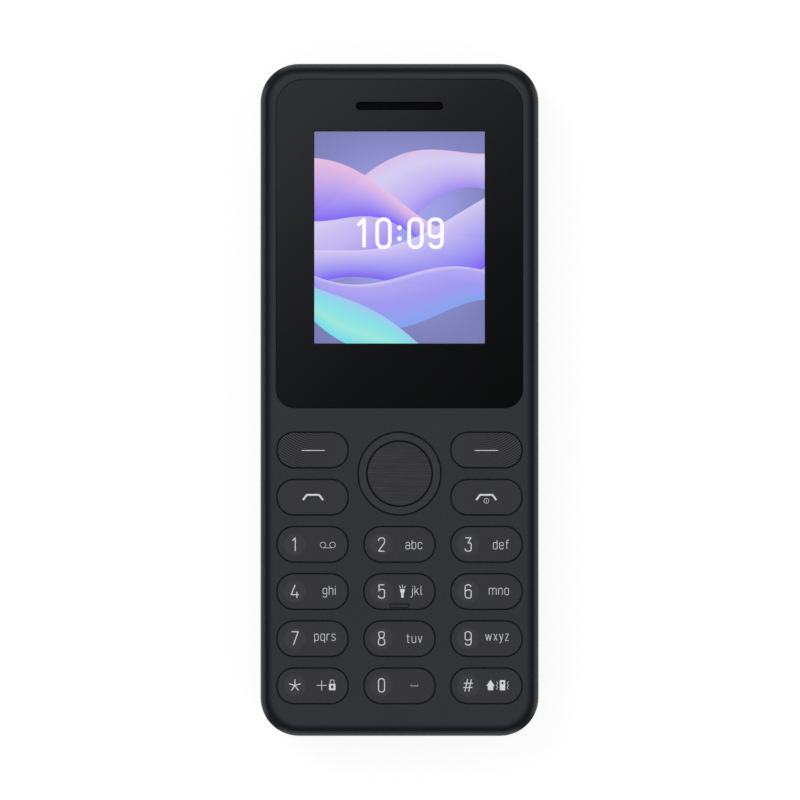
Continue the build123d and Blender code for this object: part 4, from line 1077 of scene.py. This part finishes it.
class PHONE_OT_print_numbers(bpy.types.Operator):
    """Print the digits, the letters and the signs on the number keys"""

    bl_idname = "phone.print_numbers"
    bl_label = "Print Numbers"

    def execute(self, context):
        sizes, colours, _ = settings()
        self.ink(colours)
        for row, keys in enumerate(NUMBER_KEYS):
            for column, key in enumerate(keys):
                self.print_key(sizes, key, (column - 1) * sizes.legend_columns,
                               FOOT_Y + sizes.legend_rise + row * sizes.legend_rows)
        return {"FINISHED"}

    def ink(self, colours):
        """Pale printing ink, with the slight mottle of a screen print."""
        finish = Finish("key_ink")
        mottle = finish.noise(finish.where(), 9000.0, 2.0)
        finish.skin(finish.toned(mottle, colours.legend, 0.06), mottle, 0.45, 0.6)

    def print_key(self, sizes, key, column_x, row_y):
        """Prints one key, about the middle of its column and row."""
        shape = bmesh.new()
        stroke = sizes.letter_stroke
        print_strokes(shape, DIGITS[NUMBERS[key]], (column_x + sizes.digit_offset, row_y),
                      sizes.digit_stroke, sizes)
        end_at = (column_x + sizes.letters_edge - stroke / 2, row_y)
        share, signs, plates = SIGNS.get(key, (1.0, (), ()))
        for strokes, pen in ((spelled(WORDS.get(key, "")), stroke), (signs, share * stroke)):
            if strokes:
                print_strokes(shape, strokes, end_at, pen, sizes)
        if plates:
            cut_plates(shape, [grid_points(points, sizes.drawing_unit, end_at)
                               for points in plates], sizes.ink_relief, KEY_TOP)
        finished(key.replace("key", "legend"), shape, "key_ink", key)


class PHONE_OT_print_signs(bpy.types.Operator):
    """Print the dashes of the soft keys and the handset signs of the call keys"""

    bl_idname = "phone.print_signs"
    bl_label = "Print Signs"

    def execute(self, context):
        sizes, _, _ = settings()
        dash = (DASH, sizes.letter_stroke * 1.25)
        hook = (HOOK, sizes.drawing_unit * 2.0)
        power = (POWER, sizes.letter_stroke * 0.8)
        for key, side, parts in (("key_soft_left", -1, (dash,)), ("key_soft_right", 1, (dash,)),
                                 ("key_call", -1, (hook,)), ("key_end", 1, (hook, power))):
            shape = bmesh.new()
            for strokes, pen in parts:
                print_strokes(shape, strokes, (side * sizes.legend_columns, middle(key).y), pen,
                              sizes)
            finished(key.replace("key", "legend"), shape, "key_ink", key)
        return {"FINISHED"}


class PHONE_OT_show_clock(bpy.types.Operator):
    """Show the time on the screen"""

    bl_idname = "phone.show_clock"
    bl_label = "Show Clock"

    def execute(self, context):
        sizes, _, _ = settings()
        self.light()
        unit = sizes.clock_height / DIGIT_HIGH
        centre = (0, FOOT_Y + sizes.picture_foot + PICTURE_MIDDLE * sizes.picture_height)
        relief = 0.02 * MM
        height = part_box("lcd_cell")[1].z + 0.03 * MM
        strokes = []
        for at, digit in CLOCK:
            strokes += [(closed, [(x + at, y) for x, y in points])
                        for closed, points in DIGITS[digit]]
        shape = bmesh.new()
        pen_strokes(shape, grid_strokes(strokes, unit, centre), sizes.clock_stroke, relief,
                    height)
        cut_plates(shape, [grid_points(dot, unit, centre) for dot in COLON], relief, height)
        finished("clock_digits", shape, "lit_digits", "body")
        return {"FINISHED"}

    def light(self):
        """White light of the digits."""
        finish = Finish("lit_digits", Roughness=0.4, Emission_Strength=1.0)
        glow = finish.noise(finish.where(), 300.0, 0.0)
        finish.set("Base Color", finish.toned(glow, (0.02, 0.02, 0.02), 0.1))
        finish.set("Emission Color", finish.mix(glow, (0.96, 0.96, 1.0), WHITE))


# ---------------------------------------------------------------- operators: fittings

class PHONE_OT_fit_camera(bpy.types.Operator):
    """Fit the camera's eye, the torch and the tinted pane over them"""

    bl_idname = "phone.fit_camera"
    bl_label = "Fit Camera"

    def execute(self, context):
        self.finishes()
        self.pane()
        eye = middle("camera_module")
        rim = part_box("camera_module")[0].z
        shape = bmesh.new()
        spun(shape, [(eye.x + r * MM, eye.y, rim + z * MM) for r, z in (
            (1.34, 0.02), (1.34, -0.10), (1.46, -0.20), (2.10, -0.20), (2.30, -0.06),
            (2.30, 0.02))], eye, (0, 0, 1))
        finished("camera_ring", shape, "anodised_ring", "body", smooth=True)
        self.dome("camera_glass", "coated_glass", "camera", "camera_module", radius=1.32 * MM,
                  lift=0.25 * MM, flatness=0.30, segments=48)
        self.dome("torch_emitter", "torch_dome", "torch", "torch_led", radius=1.15 * MM,
                  lift=0.02 * MM, flatness=0.24, segments=32)
        return {"FINISHED"}

    def dome(self, name, material, slot, node, radius, lift, flatness, segments):
        """A flattened ball in the middle of a node's back face."""
        centre = middle(node)
        centre.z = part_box(node)[0].z + lift
        shape = bmesh.new()
        bmesh.ops.create_uvsphere(shape, u_segments=segments, v_segments=segments // 2,
                                  radius=radius, matrix=Matrix.Translation(centre)
                                  @ Matrix.Diagonal((1, 1, flatness, 1)))
        finished(name, shape, material, "body", smooth=True)

    def finishes(self):
        """Black barrel, anodised ring, coated glass, and the torch with its dome."""
        dress(grained("camera_barrel", BARREL, roughness=0.35, grain=0.2 * MM,
                      depth=10 * MICRON), "camera_module")
        metal("anodised_ring", ANODISED, 0.25, line=0.04 * MM)
        glass = Finish("coated_glass", Roughness=0.03, Specular_IOR_Level=0.7)
        x, y, _ = glass.split(glass.where(middle("camera_module")))
        out = glass.span(x, y)
        coat = glass.mix(glass.step(out, 0.6 * MM, 1.3 * MM), GLASS_MIDDLE, GLASS_EDGE)
        glass.set("Base Color", glass.mix(glass.step(out, 0.45 * MM, 0.5 * MM), IRIS, coat))
        dome = Finish("torch_dome", Roughness=0.12, Coat_Weight=1.0)
        x, y, _ = dome.split(dome.where(middle("torch_led"), (0, 0, math.radians(45))))
        outside = dome.step(dome.larger(abs(x), abs(y)), 0.45 * MM, 0.5 * MM)
        dome.set("Base Color", dome.mix(outside, PHOSPHOR, TORCH_DOME))
        dress(grained("torch_body", TORCH_CASE, roughness=0.3, grain=0.2 * MM,
                      depth=4 * MICRON, swing=0.04), "torch_led")

    def pane(self):
        """Tinted pane, printed black except over the eye and the torch."""
        finish = Finish("tinted_pane")
        holes = []
        for node, radius in (("camera_module", 2.35 * MM), ("torch_led", 1.5 * MM)):
            x, y, _ = finish.split(finish.where(middle(node)))
            holes.append(finish.step(finish.span(x, y), radius + 0.04 * MM, radius))
        grain = finish.effect("moulded grain", finish.where(), Grain_Size=0.4 * MM)
        finish.skin(finish.toned(grain["Tone"], PANE, 0.15), grain["Gloss"], 0.05, 0.08)
        finish.set("Alpha", finish.spread(finish.larger(*holes), 1.0, 0.12))
        dress(finish, "camera_window")


class PHONE_OT_fit_contacts(bpy.types.Operator):
    """Fit the gold contacts of the sockets, the card readers and the battery"""

    bl_idname = "phone.fit_contacts"
    bl_label = "Fit Contacts"

    def execute(self, context):
        self.charging_contacts()
        self.headphone_ring()
        self.reader_springs()
        self.battery_terminals()
        self.battery_label()
        return {"FINISHED"}

    def charging_contacts(self):
        """Twelve pads on each face of the charging socket's tongue."""
        centre = middle("usb_socket")
        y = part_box("usb_socket")[0].y + 3.5 * MM
        shape = bmesh.new()
        for pad in range(12):
            for side in (-1, 1):
                bevelled_block(shape, (centre.x + (pad - 5.5) * 0.5 * MM, y,
                                       centre.z + side * 0.34 * MM), (0.28, 2.6, 0.08), 0.01, 1)
        finished("charging_contacts", shape, "contact_gold", "body")

    def headphone_ring(self):
        """Thin metal ring around the headphone socket's mouth."""
        centre = middle("headphone_socket")
        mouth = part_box("headphone_socket")[1].y
        shape = bmesh.new()
        spun(shape, [(centre.x + r * MM, mouth + y * MM, centre.z) for r, y in (
            (1.80, -0.50), (1.80, 0.0), (1.90, 0.06), (2.18, 0.06), (2.28, 0.0),
            (2.28, -0.50))], centre, (0, 1, 0))
        finished("headphone_ring", shape, "reader_steel", "body", smooth=True)

    def reader_springs(self):
        """Sprung contacts that show in the card readers' floors."""
        shape = bmesh.new()
        for node, reader_x in (("sim_readers", -8.5), ("sim_readers", 8.5),
                               ("memory_card_reader", 0.0)):
            floor_y, floor_z = middle(node).y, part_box(node)[0].z - 0.05 * MM
            for x in (-2.6, 0.0, 2.6):
                for y in (-2.4, 2.4):
                    bevelled_block(shape, ((reader_x + x) * MM, floor_y + y * MM, floor_z),
                                   (0.9, 3.0, 0.14), 0.06)
        finished("reader_springs", shape, "contact_gold", "body")

    def battery_terminals(self):
        """Gold plates in the battery's three recesses."""
        end_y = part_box("battery")[1].y
        shape = bmesh.new()
        for x in (-2.5, 0.0, 2.5):
            bevelled_block(shape, (x * MM, end_y - 0.3 * MM, middle("battery").z),
                           (1.3, 0.12, 2.0), 0.02)
        finished("battery_terminals", shape, "contact_gold", "battery")

    def battery_label(self):
        """Printed label on the battery's back, with plus and minus signs."""
        low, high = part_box("battery")
        centre = middle("battery")
        finish = Finish("battery_print")
        _, y, _ = finish.split(finish.where(centre))
        band = finish.step(abs(y + 12 * MM), 4.6 * MM, 4.5 * MM)
        rule = finish.step(abs(y + 5.5 * MM), 0.3 * MM, 0.25 * MM)
        mottle = finish.noise(finish.where(), 2500.0, 2.0)
        printed = finish.mix(band, finish.toned(mottle, LABEL, 0.04), LABEL_BAND)
        finish.skin(finish.mix(rule, printed, LABEL_RULE), mottle, 0.32, 0.45)
        shape = bmesh.new()
        bevelled_block(shape, (centre.x, centre.y - 2.5 * MM, low.z - 0.01 * MM),
                       ((high.x - low.x) / MM - 5, (high.y - low.y) / MM - 11, 0.06), 0.02)
        finished("battery_label", shape, "battery_print", "battery")
        shape = bmesh.new()
        signs = [(False, [(1.6, 0), (3.4, 0)]), (False, [(2.5, -0.9), (2.5, 0.9)]),
                 (False, [(-3.4, 0), (-1.6, 0)])]
        pen_strokes(shape, grid_strokes(signs, MM, (0, high.y - 5.8 * MM)), 0.35 * MM,
                    0.02 * MM, low.z)
        finished("battery_signs", shape, "key_ink", "battery")


# ---------------------------------------------------------------- operator: stage

CAMERA_SHIFT = (0.08 * MM, -0.02 * MM)
OVERHEAD_TINT = (0.98, 1.0, 1.07)

# The floor: how far it is below the phone, its own light and its share of colour for the camera,
# and how far it is painted black for gloss off the phone's corners, a painted dark reflection in
# the phone's rims.
FLOOR_DEPTH = 50 * MICRON
FLOOR_LIGHT = 0.86
FLOOR_SEEN = 0.30
FLOOR_DARK_OFF_CORNERS = 0.8

# The patch overhead in gloss: how its brightness grows to the left and to the far side, from
# what in the middle, and between what levels.
PATCH_LEFT, PATCH_FAR, PATCH_MIDDLE = -43.0, 50.0, -2.31
PATCH_LEAST, PATCH_MOST = 0.05, 0.82

# What gloss shows of the sky: levels from straight down (0) by the horizon (0.5) to straight
# up (1).
SKY_LEVELS = ((0.0, 0.80), (0.44, 0.75), (0.52, 0.55), (0.585, 0.12), (0.64, 0.02),
              (0.78, 0.015), (0.84, 0.10), (0.90, 0.24), (0.95, 0.41), (0.985, 0.68), (1.0, 0.96))


def rays(recipe):
    """Masks of the rays of gloss, and of those that come to the camera unscattered."""
    path = {output.name: Value(recipe, output) for output in recipe.add("LightPath").outputs}
    seen = recipe.larger(path["Is Camera Ray"], path["Is Transmission Ray"])
    return path["Is Glossy Ray"], seen


def towards_corners(recipe, x, y):
    """1 in the directions between the axes, where no soft box stands, and 0 along them."""
    turn = abs(x) * abs(y) * 2.0 / (x * x + (y * y + 1e-9))
    return recipe.step(turn, 0.68, 0.97)


class PHONE_OT_set_stage(bpy.types.Operator):
    """Set the floor, the soft light and the camera"""

    bl_idname = "phone.set_stage"
    bl_label = "Set Stage"

    def execute(self, context):
        _, colours, stage = settings()
        context.scene.view_settings.view_transform = "Standard"
        self.floor(colours, stage)
        self.world(stage)
        self.lamp("key_lamp", place=(-0.55, 0.55, 0.95), size=0.9, power=stage.key_power)
        self.lamp("fill_lamp", place=(0.7, -0.5, 0.8), size=0.8, power=stage.fill_power)
        camera = bpy.data.cameras.new("camera")
        camera.lens = stage.camera_lens
        camera.sensor_width = 36.0
        camera.clip_start, camera.clip_end = 0.05, 20.0
        holder = bpy.data.objects.new("camera", camera)
        holder.location = (*CAMERA_SHIFT, stage.camera_height)
        context.scene.collection.objects.link(holder)
        context.scene.camera = holder
        return {"FINISHED"}

    def floor(self, colours, stage):
        """Wide pale floor that keeps the shadow, and shows white to the camera. Gloss sees it
        painted black off the phone's corners, which paints a dark reflection into the phone's
        rims."""
        finish = Finish("floor_paper", Roughness=0.9, Specular_IOR_Level=0.1,
                        Emission_Color=WHITE)
        fibres = finish.noise(finish.where(), 900.0, 3.0)
        gloss, seen = rays(finish)
        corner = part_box("front_housing")[1]
        x, y, _ = finish.split(finish.where())
        past = [finish.larger(abs(value) - (reach - stage.rounding), 0.0)
                for value, reach in ((x, corner.x), (y, corner.y))]
        # Painted reflection: the floor is painted black for gloss off the phone's corners, so the
        # rims there reflect dark.
        dark_off_corners = towards_corners(finish, *past) * gloss * FLOOR_DARK_OFF_CORNERS
        paper = finish.mix(dark_off_corners, finish.toned(fibres, colours.floor, 0.01), BLACK)
        faint = finish.toned(fibres, [c * FLOOR_SEEN for c in colours.floor], 0.01)
        finish.set("Base Color", finish.mix(seen, paper, faint))
        finish.set("Emission Strength", seen * FLOOR_LIGHT)
        shape = bmesh.new()
        bmesh.ops.create_grid(shape, x_segments=8, y_segments=8, size=3.0,
                              matrix=Matrix.Translation((0, 0, -FLOOR_DEPTH)))
        mesh = bpy.data.meshes.new("floor")
        shape.to_mesh(mesh)
        shape.free()
        mesh.materials.append(finish.material)
        floor = bpy.data.objects.new("floor", mesh)
        bpy.context.scene.collection.objects.link(floor)

    def world(self, stage):
        """Even soft light. What gloss shows of it is light overhead and dark lower down."""
        world = bpy.data.worlds.new("studio")
        bpy.context.scene.world = world
        world.use_nodes = True
        world.node_tree.nodes.clear()
        world.cycles.sampling_method = "NONE"
        recipe = Recipe(world.node_tree)
        x, y, z = recipe.split(recipe.value("TexCoord", output="Generated"))
        shown = self.overhead(recipe, x, y, z, recipe.ramp(
            z * 0.5 + 0.5, [(at, (level,) * 3) for at, level in SKY_LEVELS]))
        gloss, seen = rays(recipe)
        level = gloss * shown + recipe.spread(gloss, stage.sky_level, 0.0)
        tint = recipe.mix(recipe.step(z, 0.80, 0.95) * gloss, WHITE, OVERHEAD_TINT)
        background = recipe.value("Background", {"Color": tint,
                                                 "Strength": level * (1.0 - seen) + seen})
        recipe.add("OutputWorld", {"Surface": background})

    def overhead(self, recipe, x, y, z, level):
        """The sky in gloss, with a graded patch straight overhead, brighter at its far left."""
        left, far = x / z, y / z
        growth = recipe.maths("EXPONENT", left * PATCH_LEFT + (far * PATCH_FAR + PATCH_MIDDLE))
        patch = recipe.smaller(recipe.larger(growth, PATCH_LEAST), PATCH_MOST)
        dark_off_corners = towards_corners(recipe, x, y) * recipe.step(z, 0.34, 0.16)
        around = (level * (recipe.step(far, 0.06, 0.30) * 0.55 + 1.0)
                  * recipe.spread(dark_off_corners, 1.0, 0.2))
        off = recipe.larger(abs(left), abs(far))
        inside = recipe.step(off, 0.09, 0.05) * recipe.step(z, 0.5, 0.6)
        return patch * inside + around * (1.0 - inside)

    def lamp(self, name, place, size, power):
        """A large soft lamp that faces the phone, and doesn't show in gloss."""
        light = bpy.data.lights.new(name, "AREA")
        light.shape = "SQUARE"
        light.size = size
        light.energy = power
        holder = bpy.data.objects.new(name, light)
        holder.location = place
        holder.rotation_euler = (-Vector(place)).to_track_quat("-Z", "Y").to_euler()
        holder.visible_glossy = False
        bpy.context.scene.collection.objects.link(holder)


# ---------------------------------------------------------------- panel and start

OPERATORS = (
    PHONE_OT_finish_shell,
    PHONE_OT_finish_keys,
    PHONE_OT_finish_screen,
    PHONE_OT_finish_inside,
    PHONE_OT_print_numbers,
    PHONE_OT_print_signs,
    PHONE_OT_show_clock,
    PHONE_OT_fit_camera,
    PHONE_OT_fit_contacts,
    PHONE_OT_set_stage,
)


class PHONE_PT_panel(bpy.types.Panel):
    """Sidebar panel with the steps in their order"""

    bl_idname = "PHONE_PT_panel"
    bl_label = "Candybar Phone"
    bl_space_type = "VIEW_3D"
    bl_region_type = "UI"
    bl_category = "Phone"

    def draw(self, context):
        for operator in OPERATORS:
            self.layout.operator(operator.bl_idname)
        for group in settings():
            box = self.layout.box()
            for name in group.__annotations__:
                box.prop(group, name)


CLASSES = (PhoneSizes, PhoneColours, PhoneStage, *OPERATORS, PHONE_PT_panel)


def register():
    for cls in CLASSES:
        bpy.utils.register_class(cls)
    bpy.types.Scene.phone_sizes = bpy.props.PointerProperty(type=PhoneSizes)
    bpy.types.Scene.phone_colours = bpy.props.PointerProperty(type=PhoneColours)
    bpy.types.Scene.phone_stage = bpy.props.PointerProperty(type=PhoneStage)


def unregister():
    for name in ("phone_stage", "phone_colours", "phone_sizes"):
        delattr(bpy.types.Scene, name)
    for cls in reversed(CLASSES):
        bpy.utils.unregister_class(cls)


def main():
    register()
    make_shared_effects()
    for step in (
        bpy.ops.phone.finish_shell,
        bpy.ops.phone.finish_keys,
        bpy.ops.phone.finish_screen,
        bpy.ops.phone.finish_inside,
        bpy.ops.phone.print_numbers,
        bpy.ops.phone.print_signs,
        bpy.ops.phone.show_clock,
        bpy.ops.phone.fit_camera,
        bpy.ops.phone.fit_contacts,
        bpy.ops.phone.set_stage,
    ):
        if step() != {"FINISHED"}:
            raise RuntimeError(f"{step} did not finish")


if __name__ == "__main__":
    main()
